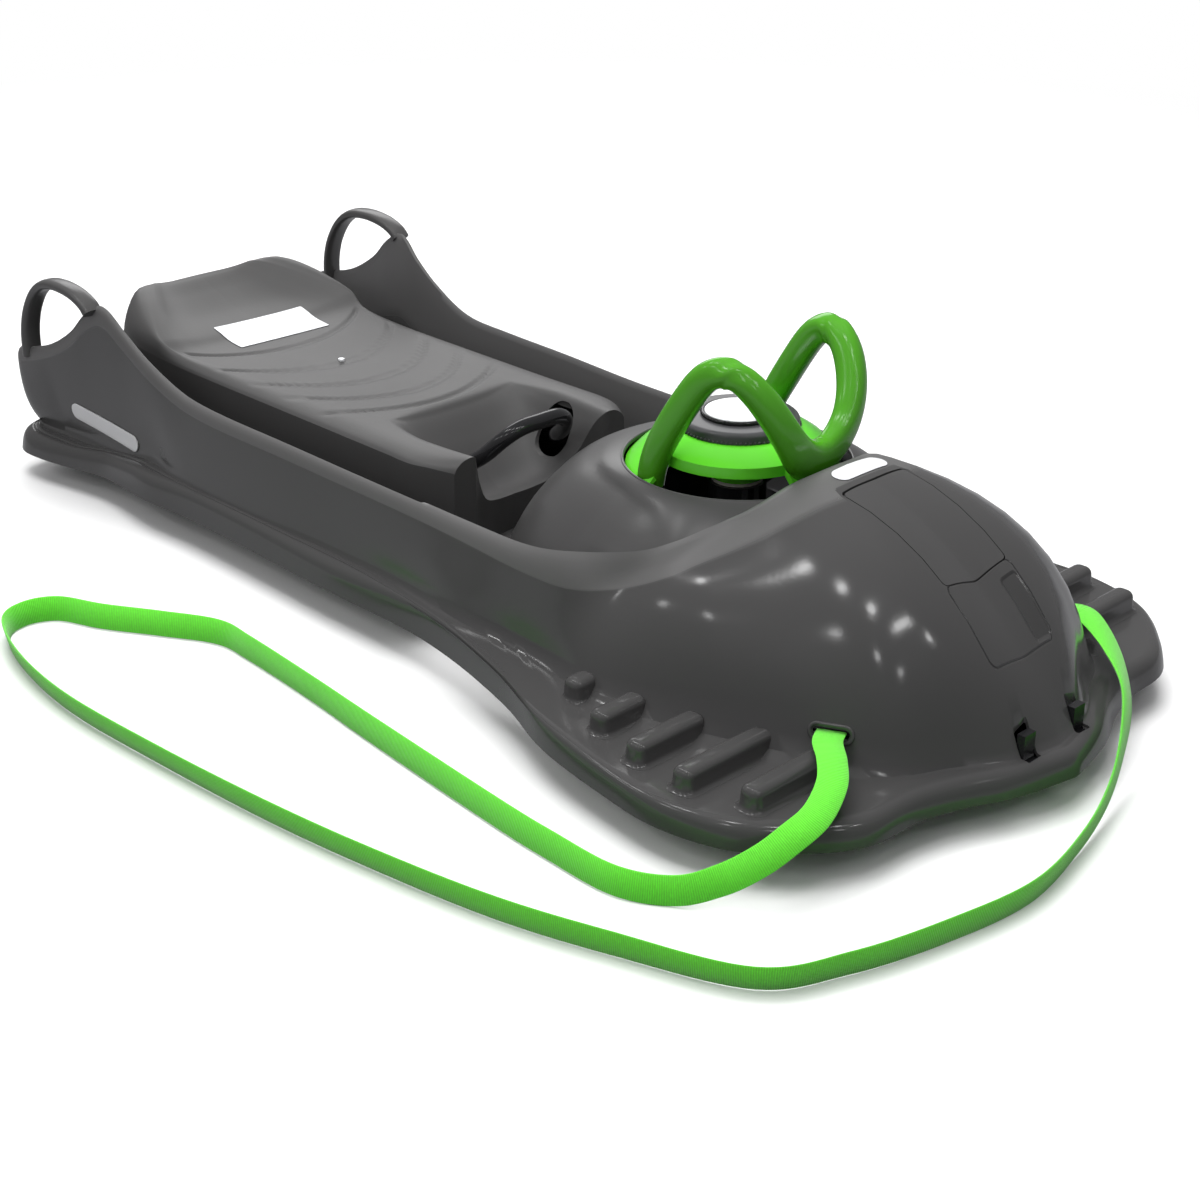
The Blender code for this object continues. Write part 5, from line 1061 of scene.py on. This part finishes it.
# Washer and cap: a thick grey washer with a beaded edge, a black beaded cap on it and a bare white
# insert in the cap. They turn with the wheel.
WASHER_RADIUS = 0.050
WASHER_TOP = 0.2165
WASHER_ROUND = 0.0062
WASHER_CROWN = 0.0050
WASHER_SLOPE = 0.0036
WASHER_BEAD = 0.0013
WASHER_GREY = (0.050, 0.050, 0.053)
CAP_RADIUS = 0.0310
CAP_TOP = 0.2196
CAP_DISH = 0.0016
CAP_BEAD = 0.0011
INSERT_RADIUS = 0.0275
INSERT_TOP = 0.2202
INSERT_WHITE = (0.80, 0.81, 0.83)
PIECE_GAP = 0.0003
BEADS_ON_WASHER = 84
BEADS_ON_CAP = 60


def beads_round(name, count, radius, height, bead, material):
    """A ring of beads about the vertical, set out on points and fixed into a mesh."""
    tree = bpy.data.node_groups.new(name, "GeometryNodeTree")
    for label, kind, value in (("Count", "Int", count), ("Ring Radius", "Float", radius),
                               ("Height", "Float", height), ("Bead Radius", "Float", bead)):
        entry = tree.interface.new_socket(label, in_out="INPUT", socket_type="NodeSocket" + kind)
        entry.default_value = value
    tree.interface.new_socket("Geometry", in_out="OUTPUT", socket_type="NodeSocketGeometry")
    made = {}
    for key, kind in (("in", "NodeGroupInput"), ("out", "NodeGroupOutput"), ("up", "ShaderNodeCombineXYZ"),
                      ("ring", "GeometryNodeMeshCircle"), ("lift", "GeometryNodeTransform"),
                      ("ball", "GeometryNodeMeshUVSphere"), ("real", "GeometryNodeRealizeInstances"),
                      ("set_out", "GeometryNodeInstanceOnPoints"), ("dress", "GeometryNodeSetMaterial")):
        made[key] = tree.nodes.new(kind)
    made["ball"].inputs["Segments"].default_value = 10
    made["ball"].inputs["Rings"].default_value = 7
    made["dress"].inputs["Material"].default_value = material
    for a, out, b, into in (("in", "Count", "ring", "Vertices"), ("in", "Ring Radius", "ring", "Radius"),
                            ("in", "Height", "up", "Z"), ("up", 0, "lift", "Translation"),
                            ("ring", 0, "lift", "Geometry"), ("in", "Bead Radius", "ball", "Radius"),
                            ("lift", 0, "set_out", "Points"), ("ball", 0, "set_out", "Instance"),
                            ("set_out", 0, "real", "Geometry"), ("real", 0, "dress", "Geometry"),
                            ("dress", 0, "out", 0)):
        tree.links.new(made[a].outputs[out], made[b].inputs[into])
    piece = made_from(name, bmesh.new())
    piece.modifiers.new("beads", "NODES").node_group = tree
    settle(piece)
    shape = bmesh.new()
    shape.from_mesh(piece.data)
    bmesh.ops.transform(shape, matrix=steer, verts=shape.verts)
    bpy.data.objects.remove(piece)
    return shape


washer_grey = moulded("washer_grey", WASHER_GREY, 0.34)
low = WHEEL_TOP + PIECE_GAP
washer_profile = [(COLUMN_BORE, low), (COLUMN_BORE, WASHER_TOP)]
for k in range(7):
    turn = pi / 2 * k / 6
    washer_profile.append((WASHER_RADIUS - WASHER_ROUND + WASHER_CROWN * sin(turn),
                           WASHER_TOP - WASHER_SLOPE * (1 - cos(turn))))
washer_edge = WASHER_RADIUS - WASHER_ROUND + WASHER_CROWN
washer_profile += [(washer_edge, low + 0.0020), (washer_edge, low)]
washer = made_from("hub_washer_piece", turned_shape(washer_profile, 120, steer))
add_shapes(washer, [beads_round("washer_beads", BEADS_ON_WASHER, WASHER_RADIUS - WASHER_BEAD, low + 0.0017,
                                WASHER_BEAD, washer_grey.material)])
hand_over(dress(washer, washer_grey, 60), "steering", "grey_plastic", "hub_washer")

seat_low = CAP_TOP - CAP_DISH
insert_edge = INSERT_RADIUS + PIECE_GAP
cap_low = WASHER_TOP + PIECE_GAP
cap_profile = [(0, cap_low), (0, seat_low), (insert_edge, seat_low), (insert_edge, CAP_TOP - 0.0003),
               (INSERT_RADIUS + 0.0008, CAP_TOP), (CAP_RADIUS - 0.0018, CAP_TOP),
               (CAP_RADIUS - 0.0009, CAP_TOP - 0.0007), (CAP_RADIUS - 0.0008, cap_low)]
cap = made_from("hub_cap_piece", turned_shape(cap_profile, 120, steer))
add_shapes(cap, [beads_round("cap_beads", BEADS_ON_CAP, CAP_RADIUS - CAP_BEAD, cap_low + 0.0013, CAP_BEAD,
                             black_gloss.material)])
hand_over(dress(cap, black_gloss, 60), "steering", "black_plastic", "hub_cap")

insert_white = moulded("insert_white", INSERT_WHITE, 0.28, 0.00002)
insert_low = seat_low + PIECE_GAP
insert_profile = [(0, insert_low), (0, INSERT_TOP), (INSERT_RADIUS * 0.94, INSERT_TOP),
                  (INSERT_RADIUS - 0.0004, INSERT_TOP - 0.0003), (INSERT_RADIUS, CAP_TOP - 0.0002),
                  (INSERT_RADIUS, insert_low)]
insert = made_from("cap_insert_piece", turned_shape(insert_profile, 96, steer))
hand_over(dress(insert, insert_white, 60), "steering", "white_plastic", "cap_insert")

# Front ski: a shallow open tray of the same green plastic under the nose, with a boss for the column and
# two stiffening ribs. It turns with the wheel.
SKI_HALF_WIDTH = 0.190
SKI_REAR = 0.162
SKI_FRONT = -0.285
SKI_TOP = 0.0270
SKI_WALL = 0.0040
SKI_BOSS_RADIUS = 0.024
SKI_BOSS_EDGE = 0.0006
SKI_RIB_HALF = 0.0018
SKI_RIB_CORNER = 0.0008
SKI_SUNK = 0.003
SKI_GREEN = (0.075, 0.330, 0.016)
SKI_SHARES = (
    (0.00, 1.00, 1), (0.55, 1.00, 1), (0.84, 0.97, 1), (0.95, 0.86, 1), (1.00, 0.66, 1), (0.985, 0.20, 1),
    (0.93, 0.30, -1), (0.84, 0.62, -1), (0.66, 0.86, -1), (0.36, 0.98, -1), (0.00, 1.00, -1),
)


def ski_outline(inset):
    """The ski's outline drawn in from its edge, smooth all round."""
    points = []
    for x, y in smooth([(x, y * end) for x, y, end in SKI_SHARES], 61):
        reach = SKI_REAR if y > 0 else -SKI_FRONT
        points.append((x * (SKI_HALF_WIDTH - inset), y * (reach - inset)))
    return points + [(-x, y) for x, y in reversed(points[1:-1])]


ski_levels = ((0.0030, 0.0), (0.0008, 0.0008), (0.0, 0.0026), (0.0, SKI_TOP - 0.0012), (0.0010, SKI_TOP),
              (SKI_WALL - 0.0010, SKI_TOP), (SKI_WALL, SKI_TOP - 0.0012), (SKI_WALL, SKI_WALL + 0.0016),
              (SKI_WALL + 0.0020, SKI_WALL))
ski = made_from("front_ski", stack(ski_outline, ski_levels, steer))
boss_top = SKI_TOP + 2 * SKI_BOSS_EDGE
boss_profile = ((COLUMN_BORE, SKI_SUNK), (SKI_BOSS_RADIUS, SKI_SUNK),
                (SKI_BOSS_RADIUS, boss_top - SKI_BOSS_EDGE), (SKI_BOSS_RADIUS - SKI_BOSS_EDGE, boss_top),
                (COLUMN_BORE, boss_top))
boss = turned_shape(boss_profile, 64, steer)
rib_middle = moved(0, (SKI_REAR + SKI_FRONT) / 2, 0)
ski_rib = (SKI_RIB_CORNER, SKI_WALL / 2, SKI_TOP - SKI_WALL)
cross = slab(SKI_HALF_WIDTH - SKI_SUNK, SKI_RIB_HALF, *ski_rib, steer, SKI_RIB_CORNER / 2)
lengthwise = slab(SKI_RIB_HALF, (SKI_REAR - SKI_FRONT) / 2 - SKI_SUNK, *ski_rib, steer @ rib_middle,
                  SKI_RIB_CORNER / 2)
add_shapes(ski, [cross, lengthwise])
cut_away(ski, [rod(COLUMN_BORE, SKI_WALL, 2 * SKI_TOP, moved(0, AXIS_Y, 0))])
add_shapes(ski, [boss])
ski_green = moulded("green_ski", SKI_GREEN, 0.30, 0.00006)
hand_over(dress(ski, ski_green, 40), "steering", "green_plastic", "steering_ski")

# Hatch lid: it is cut from the hood's own skin and hinged along its rear edge.
HATCH_SIDE_GAP = 0.0008
HATCH_FRONT_GAP = 0.0010
HINGE_LINE = -0.3702
lid_middle = (HATCH_FRONT + HATCH_FRONT_GAP + HINGE_LINE) / 2
lid_half = (HINGE_LINE - HATCH_FRONT - HATCH_FRONT_GAP) / 2
lid = bpy.data.objects.new("lid", lid_stock)
bpy.context.scene.collection.objects.link(lid)
lid_form = slab(HATCH_HALF_WIDTH - HATCH_SIDE_GAP, lid_half, HATCH_CORNER - 0.0006, *HATCH_CUT,
                moved(0, lid_middle, 0))
cut_away(lid, [lid_form], "INTERSECT")
lid_finish = moulded("anthracite_lid", PLASTIC_ANTHRACITE, 0.20, 0.00005)
hand_over(dress(lid, lid_finish), "hatch", "anthracite_plastic", "hatch_lid")

# Seat: one blow-moulded shell of anthracite plastic with a dish, five curved grooves, a raised back edge
# and an open recess in front with two round holes.
SEAT_HALF_WIDTH = 0.119
SEAT_TOP = 0.135
SEAT_LENGTH = 0.553
SEAT_WALL = 0.0035
SEAT_SLOT_HEIGHT = 0.048
SEAT_SLOT_WIDTH = 0.036
SEAT_SLOT_Y = 0.053
SEAT_SLOT_Z = 0.108
SEAT_SLOT_X = 0.525 * SEAT_HALF_WIDTH
SEAT_SLOT_REACH = 0.147 * SEAT_HALF_WIDTH
PLUG_Y = 0.2876
PLUG_RADIUS = 0.0030
SEAT_ROWS = 290
# A seat row has this many fine points: all to just past the dish's edge are kept, and then every third.
SEAT_FINE = 101
SEAT_DISH_POINTS = 56
SEAT_GROOVED = (0.09, 0.42, 0.12)
SEAT_GROOVES = ((0.353, 0.395), (0.280, 0.340), (0.220, 0.286), (0.170, 0.232), (0.136, 0.176))
GROOVE_REACH = 0.103
GROOVE_DEPTH = 0.0022
GROOVE_HALF_WIDTH = 0.0027
GROOVE_SPREAD = 1.8 * GROOVE_HALF_WIDTH
GROOVE_END = 1.04
GROOVE_FADE = 0.06
GAP = 0.0003
SEAT_FOOT = FLOOR_TOP + GAP
SEAT_SHARES = (
    (0.000, 1.00, 0.66, 1.00, 0.50, 0.86, 0.93),
    (0.035, 0.95, 0.68, 1.00, 0.52, 0.95, 0.95),
    (0.075, 0.70, 0.70, 1.00, 0.48, 1.00, 0.95),
    (0.125, 0.40, 0.71, 1.00, 0.36, 1.00, 0.95),
    (0.170, 0.15, 0.69, 1.00, 0.22, 1.00, 0.95),
    (0.215, 0.00, 0.66, 1.00, 0.07, 1.00, 0.95),
    (0.250, 0.00, 0.66, 1.00, 0.01, 1.00, 0.95),
    (0.400, 0.00, 0.70, 1.00, 0.01, 1.00, 0.95),
    (0.600, 0.00, 0.80, 1.00, 0.01, 1.00, 0.95),
    (0.715, 0.00, 0.90, 1.02, 0.02, 1.01, 0.96),
    (0.765, 0.00, 0.96, 1.10, 0.06, 1.04, 0.99),
    (0.820, 0.20, 0.83, 1.19, 0.10, 1.06, 1.02),
    (0.862, 0.50, 0.68, 1.26, 0.09, 1.04, 1.02),
    (0.888, 0.80, 0.55, 1.29, 0.05, 1.00, 0.98),
    (0.898, 0.86, 0.48, 1.24, 0.02, 0.93, 0.90),
    (0.905, 0.86, 0.42, 1.00, 0.00, 0.84, 0.74),
)
SEAT_BOW_SHARE = 0.068
# Across the seat: the dish's points as shares of its half width and of its depth, then its shoulder's.
DISH_X_SHARES = (0.0, 0.30, 0.56, 0.76, 0.90, 1.0)
DISH_DROP_SHARES = (1.0, 0.97, 0.84, 0.52, 0.16, 0.0)
SHOULDER_SHARES = ((0.45, 1.00), (0.80, 1.45), (0.95, 2.00), (1.00, 0.90), (1.02, 0.0))


def seat_point(row, j):
    """Points of one seat row from its middle to the floor."""
    y, bow, dish, edge, depth, outline, shoulder = row
    dish_x = dish * SEAT_HALF_WIDTH
    out_x = outline * SEAT_HALF_WIDTH
    edge_z = edge * SEAT_TOP
    shoulder_z = shoulder * SEAT_TOP
    if j < len(DISH_X_SHARES):
        x = DISH_X_SHARES[j] * dish_x
        z = edge_z - depth * SEAT_TOP * DISH_DROP_SHARES[j]
    else:
        x_share, z_share = SHOULDER_SHARES[j - len(DISH_X_SHARES)]
        x = dish_x + (out_x - dish_x) * x_share
        z = SEAT_FOOT + (shoulder_z - SEAT_FOOT) * z_share
        if z_share >= 1:
            z = edge_z + (shoulder_z - edge_z) * (z_share - 1)
    side_share = min(1.0, x / dish_x) if y < 0.5 else x / out_x
    return Vector((x, SEAT_LENGTH * (y + bow * SEAT_BOW_SHARE * (1 - side_share ** 2)), z))


def groove_depth(x, y):
    """How deep the seat's curved grooves are at a place."""
    across = abs(x) / GROOVE_REACH
    if across > GROOVE_END:
        return 0.0
    end = min(1.0, (GROOVE_END - across) / GROOVE_FADE)
    away = min(abs(y - (middle + (rear - middle) * across * across)) for middle, rear in SEAT_GROOVES)
    return GROOVE_DEPTH * end * max(0.0, 1 - (away / GROOVE_SPREAD) ** 2) ** 2


seat_shape = bmesh.new()
seat_grid = []
seat_columns = len(DISH_X_SHARES) + len(SHOULDER_SHARES)
first_y, last_y, lowest_z = SEAT_GROOVED
for row in smooth(SEAT_SHARES, SEAT_ROWS):
    fine = smooth([tuple(seat_point(row, j)) for j in range(seat_columns)], SEAT_FINE)
    line = []
    for x, y, z in fine[:SEAT_DISH_POINTS] + fine[SEAT_DISH_POINTS + 2::3]:
        depth = groove_depth(x, y) if first_y < y < last_y and z > lowest_z else 0.0
        line.append(seat_shape.verts.new((max(0.0, x), y, z - depth)))
    line[0].co.x = 0.0
    seat_grid.append(line)
skin(seat_shape, seat_grid)
for line in (seat_grid[0], seat_grid[-1]):
    foot = [seat_shape.verts.new((vertex.co.x, vertex.co.y, SEAT_FOOT)) for vertex in line[:-1]]
    skin(seat_shape, [line[:-1], foot])
    seat_shape.faces.new((line[-2], line[-1], foot[-1]))
face_out(seat_shape)
seat = skin_piece("seat_moulding", seat_shape, SEAT_WALL, 0)
seat_holes = [rod(PLUG_RADIUS + GAP, 0.9 * SEAT_TOP, 1.1 * SEAT_TOP, moved(0, PLUG_Y, 0), 24)]
for hand in (-1, 1):
    slot_place = moved(hand * SEAT_SLOT_X, SEAT_SLOT_Y, SEAT_SLOT_Z) @ Matrix.Rotation(pi / 2, 4, "Y")
    seat_holes.append(slab(SEAT_SLOT_HEIGHT / 2, SEAT_SLOT_WIDTH / 2, SEAT_SLOT_WIDTH / 2 - 0.0001,
                           -SEAT_SLOT_REACH, SEAT_SLOT_REACH, slot_place))
cut_away(seat, seat_holes)
seat_finish = moulded("anthracite_seat", PLASTIC_ANTHRACITE, 0.46, 0.00009, 320.0)
hand_over(dress(seat, seat_finish, 50), "sled", "anthracite_plastic", "seat_shell")
finish_nodes(insert_white, "seat_plug")

# Brake: a glossy black handle bent from thick bar, on a steel rod under the seat, with a toothed steel
# claw and a torsion spring behind it.
BRAKE_ROD = 0.0144
BRAKE_REACH = 0.148
BRAKE_HUB_RADIUS = 0.008
BRAKE_HUB_OUTSIDE = 0.0925
BRAKE_HUB_EDGE = 0.0008
BRAKE_END_GAP = 0.0060
BRAKE_STEPS = 90
CLAW_HALF_WIDTH = 0.030
PIVOT_RADIUS = 0.004
BRAKE_SHARES = (
    (0.00, -1.000, 0.486), (0.22, -0.993, 0.480), (0.39, -0.953, 0.426), (0.50, -0.865, 0.324),
    (0.57, -0.770, 0.250), (0.67, -0.689, 0.203), (0.80, -0.622, 0.162), (0.91, -0.527, 0.122),
    (0.95, -0.372, 0.074), (0.95, -0.135, 0.027), (0.95, 0.0, 0.0),
)
brake_half = smooth(BRAKE_SHARES, BRAKE_STEPS)
brake_whole = [[-row[0]] + row[1:] for row in reversed(brake_half[1:])] + brake_half
brake_path = [Vector((x * BRAKE_HUB_OUTSIDE, BRAKE_AXIS_Y + y * BRAKE_REACH, BRAKE_AXIS_Z + z * BRAKE_REACH))
              for x, y, z in brake_whole]
brake_path = [point for point in eased(brake_path, 4)
              if hypot(point.y - BRAKE_AXIS_Y, point.z - BRAKE_AXIS_Z) > BRAKE_END_GAP]
brake_sides = [Vector((0, 0.35, 1))] * len(brake_path)
brake_round = [oval(BRAKE_ROD, BRAKE_ROD, 2.0, 24)] * len(brake_path)
handle = made_from("brake_pull_handle", bar_shape(brake_path, brake_sides, brake_round))
hubs = []
hub_length = BRAKE_HUB_OUTSIDE - CLAW_HALF_WIDTH - GAP
hub_bore = PIVOT_RADIUS + GAP
hub_end = BRAKE_HUB_RADIUS - BRAKE_HUB_EDGE
hub_profile = ((hub_bore, 0), (hub_end, 0), (BRAKE_HUB_RADIUS, BRAKE_HUB_EDGE),
               (BRAKE_HUB_RADIUS, hub_length - BRAKE_HUB_EDGE), (hub_end, hub_length), (hub_bore, hub_length))
for hand in (-1, 1):
    hub_place = moved(hand * (CLAW_HALF_WIDTH + GAP), BRAKE_AXIS_Y, BRAKE_AXIS_Z)
    hubs.append(turned_shape(hub_profile, 48, hub_place @ Matrix.Rotation(hand * pi / 2, 4, "Y")))
add_shapes(handle, hubs)
hand_over(dress(handle, black_gloss, 50), "brake", "black_plastic", "brake_handle")
finish_nodes(zinc, "brake_claw", "brake_spring")

# Rear handles: a flat-sided bow of anthracite plastic over the scoop of each fin, with both its feet let
# into the fin.
HANDLE_WIDTH = 0.020
HANDLE_THICKNESS = 0.010
HANDLE_X = 0.690 * HALF_WIDTH
HANDLE_STEPS = 80
HANDLE_SHARES = ((0.735, 0.940), (0.750, 0.975), (0.782, 1.005), (0.828, 1.015), (0.872, 0.996),
                 (0.908, 0.931), (0.936, 0.824), (0.950, 0.711), (0.953, 0.590))
bow_rows = smooth(HANDLE_SHARES, HANDLE_STEPS)
bow_sections = [oval(HANDLE_WIDTH, HANDLE_THICKNESS, 2.6, 24)] * HANDLE_STEPS
for side, hand in (("left", -1), ("right", 1)):
    bow_path = [Vector((hand * HANDLE_X, y * HALF_LENGTH, z * HOOD_TOP)) for y, z in bow_rows]
    bow = made_from(f"rear_bow_{side}", bar_shape(bow_path, [Vector((1, 0, 0))] * HANDLE_STEPS, bow_sections))
    hand_over(dress(bow, dome_finish, 50), "sled", "anthracite_plastic", f"rear_handle_{side}")

# Labels: a bare white label with round ends behind the hatch, and a bare white one at the back of the
# seat's dish.
HOOD_LABEL_AT = (0.0050, -0.3520, 0.25)
HOOD_LABEL_SIZE = (0.057, 0.0165)
SEAT_LABEL_AT = (0.004, 0.4065, 0.20)
SEAT_LABEL_SIZE = (0.106, 0.050)
LABEL_THICKNESS = 0.0003
LABEL_WHITE = (0.66, 0.67, 0.69)
label_white = moulded("label_white", LABEL_WHITE, 0.35, 0.00002)
hood_label = laid_plate("hood_label", hull_surface, HOOD_LABEL_AT, (1, 0, 0), (0, 1, 0), HOOD_LABEL_SIZE,
                        0.49 * HOOD_LABEL_SIZE[1], LABEL_THICKNESS)
hand_over(dress(hood_label, label_white, 60), "sled", "white_plastic")
seat_surface = BVHTree.FromObject(seat, bpy.context.evaluated_depsgraph_get())
seat_label = laid_plate("seat_label", seat_surface, SEAT_LABEL_AT, (1, -0.03, 0), (0.03, 1, 0),
                        SEAT_LABEL_SIZE, 0.04 * SEAT_LABEL_SIZE[1], LABEL_THICKNESS)
hand_over(dress(seat_label, label_white, 60), "sled", "white_plastic")

# Studio: a pale floor that fades into a white background, soft boxes above and behind, and rows of small
# lamps that leave soft round spots on the gloss.
FLOOR_REACH = 9.0
FLOOR_PALE = (0.90, 0.90, 0.90)
FADE_FROM = 1.3
SKY_LIGHT = (0.64, 0.64, 0.65, 1.0)
LAMP_HEIGHT = 1.9
LAMP_SIZE = (0.20, 0.20)
LAMP_AIM = (-0.1, -0.4, 0.15)
# A lamp row is its nearest place across, its bow and that bow's middle, its first lamp's place along, its
# step, its number of lamps and their power.
LAMP_ROWS = ((-0.66, 0.12, 0.15, 1.07, -0.69, 6, 1.8), (-1.94, 0.07, 0.90, 1.85, -1.24, 5, 1.4))
floor_shape = bmesh.new()
floor_shape.faces.new([floor_shape.verts.new((x * FLOOR_REACH, y * FLOOR_REACH, 0))
                       for x, y in ((-1, -1), (1, -1), (1, 1), (-1, 1))])
floor_finish = Finish("pale_floor", FLOOR_PALE, 0.75)
floor_tone = floor_finish.mixed(floor_finish.noise(0.6), shade(FLOOR_PALE, 0.978), shade(FLOOR_PALE, 1.011))
floor_finish.set("Base Color", floor_tone)
floor_away = floor_finish.node("VectorMath", {"operation": "LENGTH"}, {0: floor_finish.place()}, "Value")
plain = floor_finish.node("BsdfDiffuse", {}, {"Color": (0.30, 0.30, 0.31, 1.0)})
white = floor_finish.node("Emission", {}, {"Color": (1.0, 1.0, 1.0, 1.0), "Strength": 1.0})
near_floor = Wire(floor_finish, floor_finish.shader.outputs[0])
far_share = ((floor_away - FADE_FROM) * 0.9).clamped()
seen_floor = floor_finish.node("MixShader", {}, {0: far_share, 1: near_floor, 2: white})
to_eye = floor_finish.node("LightPath", {}, {}, "Is Camera Ray")
whole_floor = floor_finish.node("MixShader", {}, {0: to_eye, 1: plain, 2: seen_floor})
floor_tree = floor_finish.tree
floor_tree.links.new(whole_floor.socket, floor_tree.nodes["Material Output"].inputs["Surface"])
floor = dress(made_from("studio_floor", floor_shape), floor_finish)

world = bpy.data.worlds.new("studio")
bpy.context.scene.world = world
world.use_nodes = True
sky = world.node_tree
sky.nodes.clear()
ray = sky.nodes.new("ShaderNodeLightPath")
choice = sky.nodes.new("ShaderNodeMixShader")
sky.links.new(ray.outputs["Is Camera Ray"], choice.inputs[0])
for place, (color, strength) in enumerate(((SKY_LIGHT, 0.42), ((1.0, 1.0, 1.0, 1.0), 1.0))):
    background = sky.nodes.new("ShaderNodeBackground")
    background.inputs["Color"].default_value = color
    background.inputs["Strength"].default_value = strength
    sky.links.new(background.outputs[0], choice.inputs[place + 1])
sky.links.new(choice.outputs[0], sky.nodes.new("ShaderNodeOutputWorld").inputs[0])


def lamp(name, place, aim, size, power, shape="RECTANGLE"):
    """An area lamp turned to a point."""
    data = bpy.data.lights.new(name, "AREA")
    data.shape = shape
    data.size = size[0]
    data.size_y = size[1]
    data.energy = power
    made = bpy.data.objects.new(name, data)
    made.location = place
    made.rotation_euler = (Vector(aim) - Vector(place)).to_track_quat("-Z", "Y").to_euler()
    bpy.context.scene.collection.objects.link(made)
    return made


lamp("overhead_box", (0.5, 0.5, 2.6), (0, 0, 0), (2.2, 1.6), 60).visible_glossy = False
lamp("rear_box", (1.6, 2.2, 1.5), (0, 0, 0.1), (2.0, 1.2), 18)
lamp("near_fill", (-2.4, -0.4, 1.6), (0, 0, 0.1), (1.2, 1.2), 14).visible_glossy = False
lamp("floor_fill", (0.0, 0.0, 3.2), (0, 0, 0), (3.0, 3.0), 60).visible_glossy = False
for nearest, curve, middle, first, step, count, power in LAMP_ROWS:
    for k in range(count):
        along = first + step * k
        across = nearest + curve * (along - middle) ** 2
        lamp(f"spot_{count}_{k}", (across, along, LAMP_HEIGHT), LAMP_AIM, LAMP_SIZE, power, "DISK")
scene = bpy.context.scene
scene.view_settings.view_transform = "Standard"
scene.view_settings.look = "None"
scene.view_settings.exposure = 0.0
